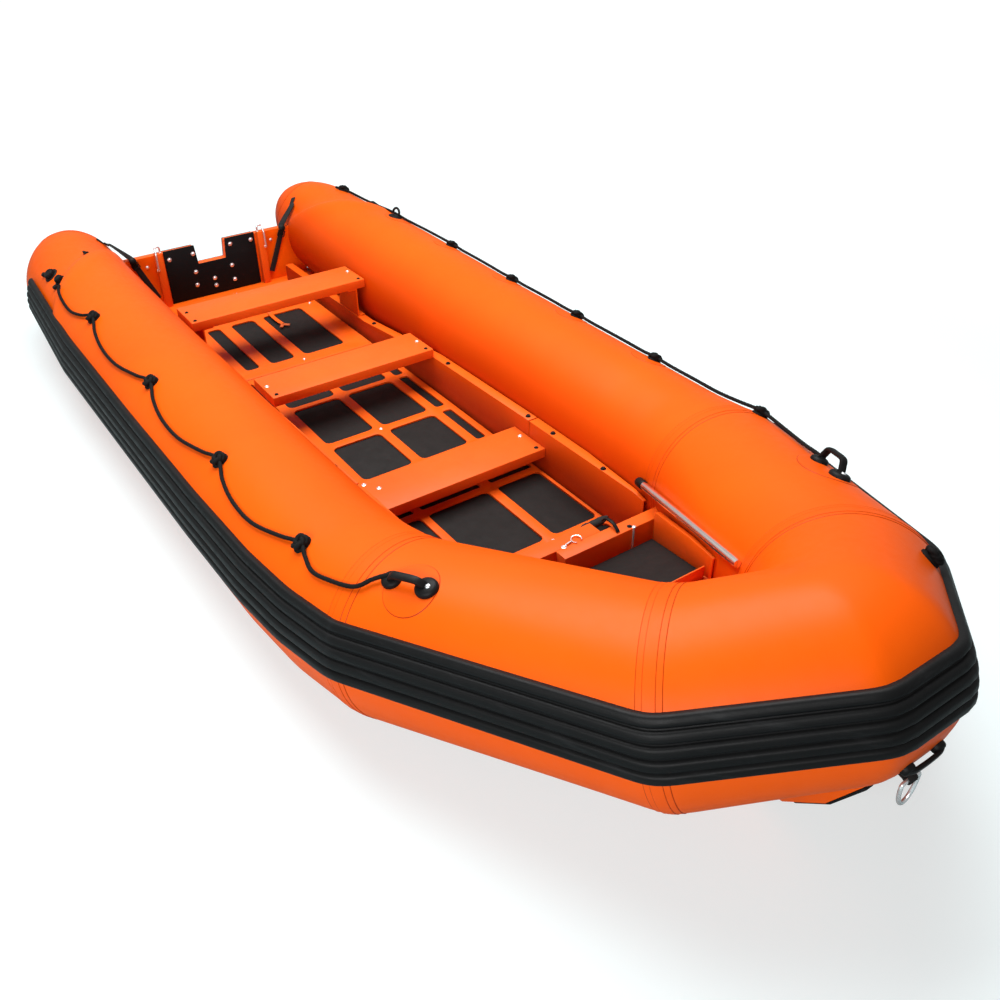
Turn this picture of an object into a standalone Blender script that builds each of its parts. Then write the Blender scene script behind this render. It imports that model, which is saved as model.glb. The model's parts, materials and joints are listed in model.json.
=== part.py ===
# Rigid inflatable boat: an inflated U-shaped collar on a rigid V hull, with thwarts, floor grid,
# transom, lifelines and a towing ring. Metres, +X to the bow, +Y to port, +Z up.
# The sizes below are measured from the front face of the transom board; the whole boat hangs from
# one empty that moves the origin to the middle of the boat's length, at floor level.
import math

import bmesh
import bpy
from mathutils import Vector

# Fits
GAP = 0.0003  # between pieces that touch
RUN = 0.005  # between pieces that move
FLAT = 0.00002  # four corners further off one plane than this become two triangles

# Collar: centre line of the port tube from stern to nose as (x, y, z, radius, strake's turn in degrees)
TUBE_R = 0.250
NOSE_R = 0.244
TUBE_SIDES = 40
FACET = 2 * math.pi / TUBE_SIDES
FIRST_EDGE = math.radians(1.5)  # angle of the first edge above the outermost line
CONE_LENGTH = 0.330
CONE_STATIONS = (0.985, 0.93, 0.82, 0.66, 0.46, 0.24)  # fractions of the cone's length
CONE_POWER = 2.1
CONE_IN = 0.089  # how far the cone's tip leans inboard
CONE_UP = 0.105
STERN = (0.0, 0.648, 0.284, 0.226, -7.5)
SIDE_LINE = (STERN, (0.75, 0.660, 0.250, TUBE_R, -5.0), (1.50, 0.650, 0.250, TUBE_R, -5.5),
             (2.10, 0.645, 0.252, TUBE_R, -4.0), (2.50, 0.638, 0.257, TUBE_R, -2.0),
             (2.72, 0.622, 0.268, TUBE_R, -1.0))
SHOULDER = (2.921, 0.595, 0.301, TUBE_R, 0.0)
QUARTER = (3.627, 0.284, 0.451, TUBE_R, 0.0)
NOSE = (3.828, 0.027, 0.546, NOSE_R, 1.5)
CREASE = 0.0005  # half the width left where the two bow tubes meet on the boat's middle plane

# Rubbing strake
STRAKE_FACETS = 4  # the strake spans this many facets of the tube
STRAKE_RIBS = 5
RIB_TOP = 0.017
RIB_VALLEY = 0.009

# Hull: half sections as (x, keel z, chine y, chine z, deck y, deck z)
DECK_Z = 0.085
TRANSOM_BACK = -0.046
HULL_SECTIONS = (
    (TRANSOM_BACK, 0.0, 0.47, 0.050, 0.57, DECK_Z),
    (0.75, 0.0, 0.47, 0.050, 0.53, DECK_Z),
    (1.50, 0.0, 0.47, 0.050, 0.52, DECK_Z),
    (2.40, 0.0, 0.46, 0.056, 0.52, DECK_Z),
    (2.85, 0.0, 0.42, 0.080, 0.50, DECK_Z),
    (2.96, 0.0, 0.40, 0.100, 0.46, 0.150),
    (3.30, 0.003, 0.31, 0.180, 0.36, 0.250),
    (3.60, 0.016, 0.20, 0.260, 0.25, 0.340),
    (3.79, 0.060, 0.11, 0.330, 0.15, 0.410),
    (3.90, 0.170, 0.05, 0.370, 0.08, 0.450),
    (3.98, 0.310, 0.025, 0.400, 0.045, 0.480),
)
STEM_GUARD = ((3.812, 0.082), (3.860, 0.130), (3.900, 0.170), (3.940, 0.240), (3.972, 0.296))
GUARD_WIDTH = 0.045
GUARD_THICK = 0.008

# Cockpit
MAT_THICK = 0.020
GRID_THICK = 0.008
FLOOR_HALF = 0.335
FLOOR_Z = DECK_Z + MAT_THICK + GRID_THICK + 2 * GAP
BAYS = {"aft": (0.10, 1.02), "mid": (1.024, 2.02), "fore": (2.024, 2.776)}
WEB_Y = 0.355  # inner face of the stringers at the stern
PLATE = 0.005
# Stringers: inner face and top as (x, y, z, flange width)
STRINGER_LINES = {
    "aft": ((0.060, WEB_Y, 0.172, 0.040), (0.650, WEB_Y, 0.178, 0.040), (0.920, WEB_Y, 0.178, 0.040),
            (1.530, 0.353, 0.250, 0.040), (2.200, 0.348, 0.272, 0.040)),
    "mid": ((2.206, 0.348, 0.272, 0.040), (2.500, 0.344, 0.280, 0.038), (2.780, 0.3385, 0.290, 0.018),
            (2.8440, 0.330, 0.292, 0.012)),
    "bow": ((2.960, 0.270, 0.340, 0.018), (3.182, 0.188, 0.420, 0.014), (3.320, 0.138, 0.457, 0.008)),
}
BOW_DECK_START = 2.960
BOW_DECK_END = 3.460
BOW_DECK_Z = 0.230
BOW_DECK_RISE = 0.427

# Thwarts: (aft edge x, top z, half length)
THWARTS = {"aft": (0.665, 0.350, 0.405), "mid": (1.345, 0.288, 0.3525), "fore": (2.118, 0.208, 0.3463)}
THWART_WIDTH = 0.190
THWART_DEEP = 0.038

# Bow crossbeam
BEAM_Z = 0.300
BEAM_X = 2.846
BEAM_WIDTH = 0.052
BEAM_DEEP = 0.100
BEAM_HALF = 0.338

# Transom
BOARD_FRONT = -0.006
BOARD_TOP = 0.345
NOTCH_HALF = 0.079
NOTCH_DEPTH = 0.098
PLATE_TOP = 0.355
PLATE_HALF = 0.234
POST_Y = 0.262
POST_WIDE = 0.036
POST_DEEP = 0.030
EYE_ROD = 0.005
STRAP_WIDE = 0.028

# Ropes and handles
ROPE_R = 0.006
CLIP_ANGLE = 62.0
STARBOARD_CLIPS = (0.846, 1.505, 2.124, 2.669)
PORT_CLIPS = (1.020, 1.500, 1.945, 2.400, 2.925)

# Bow handle and towing ring
BOW_HANDLE_ANGLE = -16.0
BOW_HANDLE_HALF = 0.051
RING_ROD = 0.005
RING_HALF = 0.030
RING_DROP = 0.078
RING_PIVOT = (4.056, 0.0, 0.403)

COLOURS = {
    "orange": ((0.90, 0.13, 0.01), 0.45, 0.0),
    "orange_paint": ((0.86, 0.14, 0.02), 0.40, 0.0),
    "black_rubber": ((0.016, 0.017, 0.018), 0.55, 0.0),
    "dark_mat": ((0.030, 0.029, 0.028), 0.85, 0.0),
    "black_plastic": ((0.012, 0.012, 0.013), 0.40, 0.0),
    "rope": ((0.012, 0.011, 0.011), 0.80, 0.0),
    "steel": ((0.62, 0.62, 0.60), 0.25, 1.0),
    "aluminium": ((0.78, 0.72, 0.70), 0.30, 1.0),
}


# Scene and materials

def clear_scene():
    for item in list(bpy.data.objects):
        bpy.data.objects.remove(item, do_unlink=True)


def make_materials():
    materials = {}
    for name, (colour, roughness, metallic) in COLOURS.items():
        material = bpy.data.materials.new(name)
        material.use_nodes = True
        shader = material.node_tree.nodes["Principled BSDF"]
        shader.inputs["Base Color"].default_value = (*colour, 1.0)
        shader.inputs["Roughness"].default_value = roughness
        shader.inputs["Metallic"].default_value = metallic
        materials[name] = material
    return materials


def add_object(name, mesh, material=None):
    item = bpy.data.objects.new(name, mesh)
    bpy.context.scene.collection.objects.link(item)
    item.parent = boat
    if material:
        mesh.materials.append(materials[material])
    return item


def finish_mesh(name, bm, smooth=True):
    bmesh.ops.recalc_face_normals(bm, faces=bm.faces)
    mesh = bpy.data.meshes.new(name)
    bm.to_mesh(mesh)
    bm.free()
    if smooth:
        mesh.shade_smooth()
        mesh.set_sharp_from_angle(angle=math.radians(32))
    return mesh


# Mesh builders

def loft(rings, closed=False):
    # Skins equal rings of points, with a cap at each end unless the rings close on themselves
    bm = bmesh.new()
    verts = [[bm.verts.new(p) for p in ring] for ring in rings]
    count = len(rings[0])
    pairs = list(zip(verts[:-1], verts[1:]))
    if closed:
        pairs.append((verts[-1], verts[0]))
    for low, high in pairs:
        for i in range(count):
            j = (i + 1) % count
            corners = (low[i], low[j], high[j], high[i])
            tilt = (low[j].co - low[i].co).cross(high[i].co - low[i].co).normalized()
            if abs(tilt.dot(high[j].co - low[i].co)) < FLAT:
                bm.faces.new(corners)
            else:
                bm.faces.new(corners[:3])
                bm.faces.new((corners[0], corners[2], corners[3]))
    if not closed:
        bm.faces.new(verts[0][::-1])
        bm.faces.new(verts[-1])
    return bm


def box_mesh(name, low, high):
    rings = [[Vector((x, low[1], low[2])), Vector((x, high[1], low[2])),
              Vector((x, high[1], high[2])), Vector((x, low[1], high[2]))] for x in (low[0], high[0])]
    return finish_mesh(name, loft(rings), smooth=False)


def prism_mesh(name, outline, start, end):
    # Extrudes an outline of (y, z) points along X
    rings = [[Vector((x, y, z)) for y, z in outline] for x in (start, end)]
    return finish_mesh(name, loft(rings), smooth=False)


def smooth_route(points, steps):
    # Catmull-Rom curve through the points
    points = [Vector(p) for p in points]
    padded = [2 * points[0] - points[1]] + points + [2 * points[-1] - points[-2]]
    route = []
    for a, b, c, d in zip(padded, padded[1:], padded[2:], padded[3:]):
        for k in range(steps):
            t = k / steps
            route.append(0.5 * ((2 * b) + (c - a) * t + (2 * a - 5 * b + 4 * c - d) * t * t
                                + (3 * b - a - 3 * c + d) * t * t * t))
    route.append(points[-1])
    return route


def pipe_rings(route, radius, sides, closed=False):
    # Rings of a round rod that keeps its roll along the route
    route = [Vector(p) for p in route]
    count = len(route)
    rings = []
    side = None
    for i, point in enumerate(route):
        before = route[i - 1] if (i > 0 or closed) else point
        after = route[(i + 1) % count] if (i < count - 1 or closed) else point
        along = (after - before).normalized()
        if side is None:
            side = along.cross(Vector((0, 0, 1)))
            if side.length < 0.1:
                side = along.cross(Vector((0, 1, 0)))
        side = (side - along * side.dot(along)).normalized()
        up = along.cross(side)
        bend = 1.0
        if 0 < i < count - 1 or closed:
            cosine = (point - before).normalized().dot((after - point).normalized())
            bend = 1 / math.sqrt(max(0.5, (1 + cosine) / 2))
        rings.append([point + radius * bend * (math.cos(a) * side + math.sin(a) * up)
                      for a in (2 * math.pi * k / sides for k in range(sides))])
    return rings


def pipe_mesh(name, route, radius, sides=10, closed=False):
    return finish_mesh(name, loft(pipe_rings(route, radius, sides, closed), closed))


def boolean(item, other, operation):
    modifier = item.modifiers.new(operation.lower(), "BOOLEAN")
    modifier.operation = operation
    modifier.solver = "EXACT"
    modifier.object = other
    other.hide_render = True
    other.display_type = "WIRE"


# Collar

def collar_stations():
    # Port side from the stern tip forward, then the same mirrored back to the starboard stern
    port = []
    for fraction in CONE_STATIONS:
        radius = STERN[3] * (1 - fraction ** CONE_POWER) ** (1 / CONE_POWER)
        lean = fraction ** 1.5
        port.append((Vector((-CONE_LENGTH * fraction, STERN[1] - CONE_IN * lean, STERN[2] + CONE_UP * lean)),
                     radius, math.radians(STERN[4])))
    for x, y, z, radius, turn in SIDE_LINE + (SHOULDER, QUARTER, NOSE):
        port.append((Vector((x, y, z)), radius, math.radians(turn)))
    mirrored = [(Vector((p.x, -p.y, p.z)), r, t) for p, r, t in reversed(port)]
    return port + mirrored


def tube_point(station, angle, height):
    # A point at an angle above the outermost line, height above the skin, on the station's mitre
    centre, radius, turn = stations[station]
    angle += turn
    ahead = stations[min(station + 1, len(stations) - 1)][0]
    behind = stations[max(station - 1, 0)][0]
    runs = [r.normalized() for r in (centre - behind, ahead - centre) if r.length > 0]
    mitre = sum(runs, Vector()).normalized()
    total = Vector()
    for along in runs:
        out = Vector((-along.y, along.x, 0)).normalized()
        up = along.cross(out)
        ray = (radius + height) * (math.cos(angle) * out + math.sin(angle) * up)
        total += centre + ray - along * (ray.dot(mitre) / along.dot(mitre))
        if abs(along.x) > 0.1:
            slanted, skin = along, centre + ray
    point = total / len(runs)
    side = math.copysign(1, centre.y)
    if point.y * side < CREASE:
        point = skin + slanted * ((CREASE * side - skin.y) / slanted.y)
    return point


def tube_ring(station, height=0.0, shift=0.0):
    centre = stations[station][0]
    ahead = stations[min(station + 1, len(stations) - 1)][0]
    behind = stations[max(station - 1, 0)][0]
    move = (ahead - behind).normalized() * shift
    return [tube_point(station, FIRST_EDGE + FACET * k, height) + move for k in range(TUBE_SIDES)]


def chamber(name, first, last):
    rings = []
    for station in range(first, last + 1):
        shift = GAP / 2 if station == first and first > 0 else 0.0
        if station == last and last < len(stations) - 1:
            shift = -GAP / 2
        rings.append(tube_ring(station, 0.0, shift))
    return add_object(name, finish_mesh(name, loft(rings)), "orange")


def strake(name, first, last):
    # Five ribs on a thin base that lies flat on the tube's facets
    span = STRAKE_FACETS * FACET
    step = span / STRAKE_RIBS
    outer = [(FIRST_EDGE + span, RIB_VALLEY * 0.5)]
    for rib in reversed(range(STRAKE_RIBS)):
        base = FIRST_EDGE + rib * step
        outer += [(base + step * 0.82, RIB_TOP), (base + step * 0.20, RIB_TOP)]
        if rib:
            outer.append((base, RIB_VALLEY))
    outer.append((FIRST_EDGE, RIB_VALLEY * 0.5))
    inner = [(FIRST_EDGE + FACET * k, GAP) for k in range(STRAKE_FACETS + 1)]
    rings = []
    for station in range(first, last + 1):
        centre = stations[station][0]
        move = (stations[min(station + 1, len(stations) - 1)][0] - centre).normalized() * GAP
        offset = move if station == first and first > len(CONE_STATIONS) else Vector()
        rings.append([tube_point(station, a, h) + offset for a, h in inner + outer])
    return add_object(name, finish_mesh(name, loft(rings)), "black_rubber")


def tube_frame(x, side, angle):
    # Skin point, outward normal and direction of travel at a distance x from the transom
    half = stations[:len(stations) // 2]
    for (a, ra, ta), (b, rb, tb) in zip(half, half[1:]):
        if a.x <= x <= b.x:
            break
    t = (x - a.x) / (b.x - a.x)
    centre = a.lerp(b, t)
    radius = (ra + (rb - ra) * t) * math.cos(FACET / 2)
    along = (b - a).normalized()
    out = Vector((-along.y, along.x, 0)).normalized()
    up = along.cross(out)
    normal = math.cos(math.radians(angle)) * out + math.sin(math.radians(angle)) * up
    point = centre + radius * normal
    if side < 0:
        point.y, normal.y, along.y = -point.y, -normal.y, -along.y
    return point, normal, along


def on_tube(x, side, angle, height):
    point, normal, along = tube_frame(x, side, angle)
    return point + normal * height


def build_collar():
    shoulder = len(CONE_STATIONS) + len(SIDE_LINE)
    last = len(stations) - 1
    chamber("collar_side_port", 0, shoulder)
    chamber("collar_quarter_port", shoulder, shoulder + 1)
    chamber("collar_bow", shoulder + 1, last - shoulder - 1)
    chamber("collar_quarter_starboard", last - shoulder - 1, last - shoulder)
    chamber("collar_side_starboard", last - shoulder, last)
    start = len(CONE_STATIONS)
    strake("strake_port", start, shoulder)
    strake("strake_bow", shoulder, last - shoulder)
    strake("strake_starboard", last - shoulder, last - start)


def collar_cutter():
    # The whole collar grown by the fitting gap: it trims every piece that is seated on the collar
    rings = [tube_ring(s, GAP) for s in range(len(stations))]
    return add_object("collar_cutter", finish_mesh("collar_cutter", loft(rings)))


# Hull

def hull_ring(section):
    x, keel, chine_y, chine_z, deck_y, deck_z = section
    pad = min(0.02, chine_y * 0.4)  # flat landing strip along the keel
    return [Vector(p) for p in ((x, -pad, keel), (x, pad, keel), (x, chine_y, chine_z), (x, deck_y, deck_z),
                                (x, -deck_y, deck_z), (x, -chine_y, chine_z))]


def build_hull():
    rings = [hull_ring(section) for section in HULL_SECTIONS]
    hull = add_object("hull", finish_mesh("hull", loft(rings), smooth=False), "orange_paint")
    boolean(hull, cutter, "DIFFERENCE")
    half = GUARD_WIDTH / 2 - 0.006
    inner = [Vector((x, 0, z)) for x, z in STEM_GUARD]
    rings = []
    for i, point in enumerate(inner):
        along = (inner[min(i + 1, len(inner) - 1)] - inner[max(i - 1, 0)]).normalized()
        out = Vector((along.z, 0, -along.x))
        low, high = point + out * GAP * 3, point + out * GUARD_THICK
        rings.append([low + Vector((0, -half, 0)), low + Vector((0, half, 0)),
                      high + Vector((0, half * 0.8, 0)), high + Vector((0, -half * 0.8, 0))])
    add_object("keel_guard", finish_mesh("keel_guard", loft(rings), smooth=False), "black_rubber")


def bow_deck_z(x):
    return BOW_DECK_Z + (x - BOW_DECK_START) * BOW_DECK_RISE


def hull_top_z(x):
    for low, high in zip(HULL_SECTIONS, HULL_SECTIONS[1:]):
        if low[0] <= x <= high[0]:
            return low[5] + (high[5] - low[5]) * (x - low[0]) / (high[0] - low[0])
    return HULL_SECTIONS[-1][5]


def build_bow_deck():
    breaks = (BOW_DECK_START, 3.30, BOW_DECK_END)
    rings = []
    for x in breaks:
        low, high = hull_top_z(x) + GAP, bow_deck_z(x)
        rings.append([Vector(p) for p in ((x, -0.42, low), (x, 0.42, low), (x, 0.42, high), (x, -0.42, high))])
    deck = add_object("bow_deck", finish_mesh("bow_deck", loft(rings), smooth=False), "orange_paint")
    boolean(deck, cutter, "DIFFERENCE")
    start, end, thick = BOW_DECK_START + 0.002, 3.285, 0.012
    rings = []
    for x, half in ((start, 0.268), (3.180, 0.187), (end, 0.148)):
        low = bow_deck_z(x) + GAP
        rings.append([Vector(p) for p in ((x, -half, low), (x, half, low), (x, half, low + thick),
                                          (x, -half, low + thick))])
    mat = add_object("bow_mat", finish_mesh("bow_mat", loft(rings), smooth=False), "dark_mat")
    boolean(mat, cutter, "DIFFERENCE")


# Floor

def rounded_rectangle(low, high, radius, steps=3):
    points = []
    corners = ((high[0], high[1], 0), (low[0], high[1], 90), (low[0], low[1], 180), (high[0], low[1], 270))
    for x, y, turn in corners:
        cx = x - radius if x == high[0] else x + radius
        cy = y - radius if y == high[1] else y + radius
        for k in range(steps + 1):
            angle = math.radians(turn + 90 * k / steps)
            points.append((cx + radius * math.cos(angle), cy + radius * math.sin(angle)))
    return points


def floor_windows(bay):
    start, end = BAYS[bay]
    if bay == "aft":
        columns = ((-0.236, -0.175), (-0.120, -0.008), (0.040, 0.236))
        rows = ((0.150, 0.425), (0.462, 0.940))
    elif bay == "mid":
        columns = ((-0.305, -0.265), (-0.225, -0.020), (0.020, 0.225), (0.265, 0.305))
        rows = ((1.060, 1.350), (1.376, 1.684), (1.724, 1.985))
    else:
        columns = ((-0.320, -0.180), (-0.150, 0.098), (0.138, 0.322))
        rows = ((2.060, 2.190), (2.232, 2.262), (2.292, 2.640), (2.680, 2.745))
    return [((r[0], c[0]), (r[1], c[1])) for r in rows for c in columns]


def build_floor():
    for bay, (start, end) in BAYS.items():
        low_z = DECK_Z + GAP
        mat = box_mesh("mat_" + bay, (start + 0.012, -FLOOR_HALF + 0.008, low_z),
                       (end - 0.012, FLOOR_HALF - 0.008, low_z + MAT_THICK))
        add_object("mat_" + bay, mat, "dark_mat")
        low_z += MAT_THICK + GAP
        name = "floor_grid_" + bay
        grid = add_object(name, box_mesh(name, (start, -FLOOR_HALF, low_z), (end, FLOOR_HALF, low_z + GRID_THICK)),
                          "orange_paint")
        bm = bmesh.new()
        for low, high in floor_windows(bay):
            radius = min(0.022, (high[0] - low[0]) * 0.3, (high[1] - low[1]) * 0.3)
            outline = rounded_rectangle(low, high, radius)
            bottom = [bm.verts.new((x, y, low_z - 0.004)) for x, y in outline]
            top = [bm.verts.new((x, y, low_z + GRID_THICK + 0.01)) for x, y in outline]
            bm.faces.new(bottom[::-1])
            bm.faces.new(top)
            for i in range(len(outline)):
                j = (i + 1) % len(outline)
                bm.faces.new((bottom[i], bottom[j], top[j], top[i]))
        cutter = add_object(name + "_cutter", finish_mesh(name + "_cutter", bm, smooth=False))
        boolean(grid, cutter, "DIFFERENCE")


# Stringers

def stringer(name, line, side, base):
    # Upright web with a flange turned outboard along its top
    rings = []
    widths = [point[3] for point in line]
    line = [Vector((x, y * side, z)) for x, y, z, width in line]
    for i, top in enumerate(line):
        along = (line[min(i + 1, len(line) - 1)] - line[max(i - 1, 0)])
        out = Vector((-along.y, along.x, 0)).normalized() * side
        low = base(top.x) + GAP
        low_out = base(top.x + out.x * PLATE) + GAP
        under = top.z - PLATE
        outline = ((0, low), (PLATE, low_out), (PLATE, under), (widths[i], under), (widths[i], top.z), (0, top.z))
        rings.append([Vector((top.x, top.y, 0)) + out * w + Vector((0, 0, z)) for w, z in outline])
    add_object(name, finish_mesh(name, loft(rings), smooth=False), "orange_paint")


def build_stringers():
    for side, word in ((1, "port"), (-1, "starboard")):
        for part, line in STRINGER_LINES.items():
            base = bow_deck_z if part == "bow" else (lambda x: DECK_Z)
            stringer("stringer_" + part + "_" + word, line, side, base)


# Seats and crossbeam

def channel(name, start, top, half, width, deep):
    # Bent sheet seat: a flat top with both long edges and both ends turned down, open below
    body = add_object(name, box_mesh(name, (start, -half, top - deep), (start + width, half, top)), "orange_paint")
    hollow = add_object(name + "_hollow", box_mesh(name + "_hollow", (start + PLATE, -half + PLATE, top - deep - 0.01),
                                                   (start + width - PLATE, half - PLATE, top - PLATE)))
    boolean(body, hollow, "DIFFERENCE")
    return body


def build_thwarts():
    for part, (start, top, half) in THWARTS.items():
        channel("thwart_" + part, start, top, half, THWART_WIDTH, THWART_DEEP)
    start, top, half = THWARTS["aft"]
    foot = STRINGER_LINES["aft"][1][2] + GAP
    head = top - THWART_DEEP - GAP
    for side, word in ((1, "port"), (-1, "starboard")):
        y = WEB_Y + 0.004
        outline = ((y - 0.040, head), (y - 0.040, head - PLATE), (y, head - PLATE), (y, foot),
                   (y + 0.034, foot), (y + 0.034, foot + PLATE), (y + PLATE, foot + PLATE), (y + PLATE, head))
        outline = [(w * side, z) for w, z in outline]
        name = "thwart_bracket_" + word
        add_object(name, prism_mesh(name, outline, start + 0.001, start + THWART_WIDTH - 0.001), "orange_paint")


def build_beam():
    for part, offset, wide, left, right in (("aft", 0.0, BEAM_WIDTH, -BEAM_HALF, 0.110),
                                            ("fore", BEAM_WIDTH + GAP, 0.045, -0.060, BEAM_HALF)):
        name = "crossbeam_" + part
        start = BEAM_X + offset
        body = add_object(name, box_mesh(name, (start, left, BEAM_Z - BEAM_DEEP), (start + wide, right, BEAM_Z)),
                          "orange_paint")
        hollow = add_object(name + "_hollow", box_mesh(name + "_hollow", (start + PLATE, left + PLATE,
                            BEAM_Z - BEAM_DEEP - 0.01), (start + wide - PLATE, right - PLATE, BEAM_Z - PLATE)))
        boolean(body, hollow, "DIFFERENCE")
        boolean(body, cutter, "DIFFERENCE")


# Transom

def notched_plate(name, half, low, high, notch_low, start, end, colour):
    outline = ((-half, low), (half, low), (half, high), (NOTCH_HALF, high), (NOTCH_HALF * 0.9, notch_low),
               (-NOTCH_HALF * 0.9, notch_low), (-NOTCH_HALF, high), (-half, high))
    return add_object(name, prism_mesh(name, outline, start, end), colour)


def build_transom():
    notch = PLATE_TOP - NOTCH_DEPTH
    low = DECK_Z + GAP
    board = notched_plate("transom_board", 0.500, low, BOARD_TOP, notch, TRANSOM_BACK + 0.006, BOARD_FRONT,
                          "orange_paint")
    boolean(board, cutter, "DIFFERENCE")
    notched_plate("motor_plate_inner", PLATE_HALF, low, PLATE_TOP, notch, BOARD_FRONT + GAP, BOARD_FRONT + 0.006,
                  "black_plastic")
    notched_plate("motor_plate_outer", PLATE_HALF, low + 0.04, PLATE_TOP - 0.01, notch - 0.001,
                  TRANSOM_BACK - 0.002, TRANSOM_BACK + 0.006 - GAP, "black_plastic")
    for side, word in ((1, "port"), (-1, "starboard")):
        inner, outer = POST_Y - POST_WIDE / 2, POST_Y + POST_WIDE / 2
        ys = sorted((inner * side, outer * side))
        name = "transom_post_" + word
        add_object(name, box_mesh(name, (BOARD_FRONT + GAP, ys[0], low),
                                  (BOARD_FRONT + POST_DEEP, ys[1], PLATE_TOP + 0.004)), "orange_paint")
        top = PLATE_TOP + 0.004 + GAP
        route = [(0, POST_Y - 0.012, top), (0, POST_Y - 0.012, top + 0.018)]
        route += [(0, POST_Y - 0.012 * math.cos(a), top + 0.018 + 0.012 * math.sin(a))
                  for a in (math.radians(d) for d in range(30, 180, 30))]
        route += [(0, POST_Y + 0.012, top + 0.018), (0, POST_Y + 0.012, top)]
        route = [Vector((BOARD_FRONT + POST_DEEP / 2, y * side, z)) for x, y, z in route]
        name = "lifting_eye_" + word
        add_object(name, pipe_mesh(name, route, EYE_ROD, 8), "steel")
        top_end = on_tube(-0.12, side, 142, 0.004)
        build_strap(word, side, top_end)


def build_strap(word, side, anchor):
    # Flat webbing from the tube's inner shoulder to the foot of the post
    foot = Vector((BOARD_FRONT + 0.010, 0.300 * side, FLOOR_Z + 0.02))
    rim = Vector((BOARD_FRONT + 0.010, 0.385 * side, BOARD_TOP - 0.005))
    route = [foot, foot.lerp(rim, 0.5), rim, rim + Vector((-0.012, 0.004 * side, 0.016)),
             anchor + Vector((0.03, -0.012 * side, 0.004)), anchor, on_tube(-0.15, side, 132, 0.004)]
    faces = [Vector((1, 0, 0))] * 3 + [Vector((0.6, 0, 0.8)), Vector((0.1, -0.4 * side, 0.9))]
    faces += [Vector((0, -math.cos(math.radians(a)) * side, math.sin(math.radians(a)))) for a in (38, 48)]
    rings = []
    for i, point in enumerate(route):
        along = (route[min(i + 1, len(route) - 1)] - route[max(i - 1, 0)]).normalized()
        wide = along.cross(faces[i]).normalized() * STRAP_WIDE / 2
        thick = wide.cross(along).normalized() * 0.0025
        rings.append([point - wide - thick, point + wide - thick, point + wide + thick, point - wide + thick])
    name = "transom_strap_" + word
    strap = add_object(name, finish_mesh(name, loft(rings), smooth=False), "rope")
    boolean(strap, cutter, "DIFFERENCE")


# Lifelines, handles and valves

def clip_block(x, side, angle, name):
    # Moulded clip on the tube skin, a rounded block that the rope runs through
    point, normal, along = tube_frame(x, side, angle)
    across = normal.cross(along)
    rings = []
    for height, grow in ((-0.004, 1.0), (0.012, 1.0), (0.024, 0.62)):
        ring = []
        for k in range(8):
            a = math.radians(22.5 + 45 * k)
            ring.append(point + normal * height + along * math.cos(a) * 0.030 * grow
                        + across * math.sin(a) * 0.022 * grow)
        rings.append(ring)
    item = add_object(name, finish_mesh(name, loft(rings), smooth=False))
    return item


def lifeline(word, side, route, clips):
    name = "lifeline_" + word
    points = smooth_route([on_tube(x, side, angle, height) for x, angle, height in route], 4)
    rope = add_object(name, pipe_mesh(name, points, ROPE_R, 8), "rope")
    for i, x in enumerate(clips):
        block = clip_block(x, side, CLIP_ANGLE, f"clip_{word}_{i}")
        boolean(rope, block, "UNION")
    boolean(rope, cutter, "DIFFERENCE")


def swag_route(clips, sag, lift, height):
    # Rope points between clips: down to the sag angle and back up
    route = []
    for a, b in zip(clips, clips[1:]):
        route.append((a, CLIP_ANGLE, height))
        for t in (0.16, 0.36, 0.60, 0.84):
            dip = math.sin(math.pi * min(1.0, t * 1.06)) ** 0.8
            route.append((a + (b - a) * t, CLIP_ANGLE - sag * dip, lift))
    route.append((clips[-1], CLIP_ANGLE, height))
    return route


def build_lifelines():
    lift = ROPE_R + 0.0035
    inside = 0.013
    start = [(0.43, 55.0, lift), (0.46, 51.5, lift), (0.54, 49.0, lift), (0.66, 49.5, lift), (0.765, 55.5, lift)]
    end = [(2.715, 58.0, lift), (2.79, 53.0, lift), (2.86, 53.5, lift), (2.925, 59.5, lift),
           (2.968, 66.0, lift + 0.003)]
    lifeline("starboard", -1, start + swag_route(STARBOARD_CLIPS, 12.5, lift, inside) + end, STARBOARD_CLIPS)
    port = [(0.0, 76.0, lift), (0.06, 66.0, lift), (0.25, 60.0, lift), (0.50, 64.5, lift), (0.62, 64.0, lift),
            (0.80, 59.5, lift)]
    tail = [(3.05, 59.0, lift), (3.19, 62.0, lift), (3.265, 62.5, lift + 0.003)]
    lifeline("port", 1, port + swag_route(PORT_CLIPS, 3.5, lift, inside) + tail, PORT_CLIPS)


def grip(name, x, side, angle, half, rise, radius, foot_size):
    # Arched bar between two round feet on the tube skin
    point, normal, along = tube_frame(x, side, angle)
    across = normal.cross(along)
    route = []
    for k in range(9):
        t = k / 8
        route.append(point + along * half * math.cos(math.pi * t)
                     + normal * (0.012 + rise * math.sin(math.pi * t) ** 0.6))
    bar = add_object(name, pipe_mesh(name, route, radius, 8), "black_plastic")
    for i, sign in enumerate((-1, 1)):
        rings = []
        for height, size in ((-0.006, foot_size), (0.014, foot_size), (0.022, foot_size * 0.7)):
            ring = []
            for k in range(10):
                a = 2 * math.pi * k / 10
                ring.append(point + along * (sign * half + size * math.cos(a)) + across * size * math.sin(a)
                            + normal * height)
            rings.append(ring)
        foot = add_object(f"{name}_foot_{i}", finish_mesh(f"{name}_foot_{i}", loft(rings)))
        boolean(bar, foot, "UNION")
    boolean(bar, cutter, "DIFFERENCE")


def build_handles():
    grip("handle_starboard", 3.058, -1, 69.0, 0.052, 0.030, 0.009, 0.027)
    grip("handle_port", 3.355, 1, 66.0, 0.055, 0.030, 0.009, 0.027)
    grip("loop_port_stern", 0.560, 1, 70.0, 0.034, 0.034, 0.005, 0.013)


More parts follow.
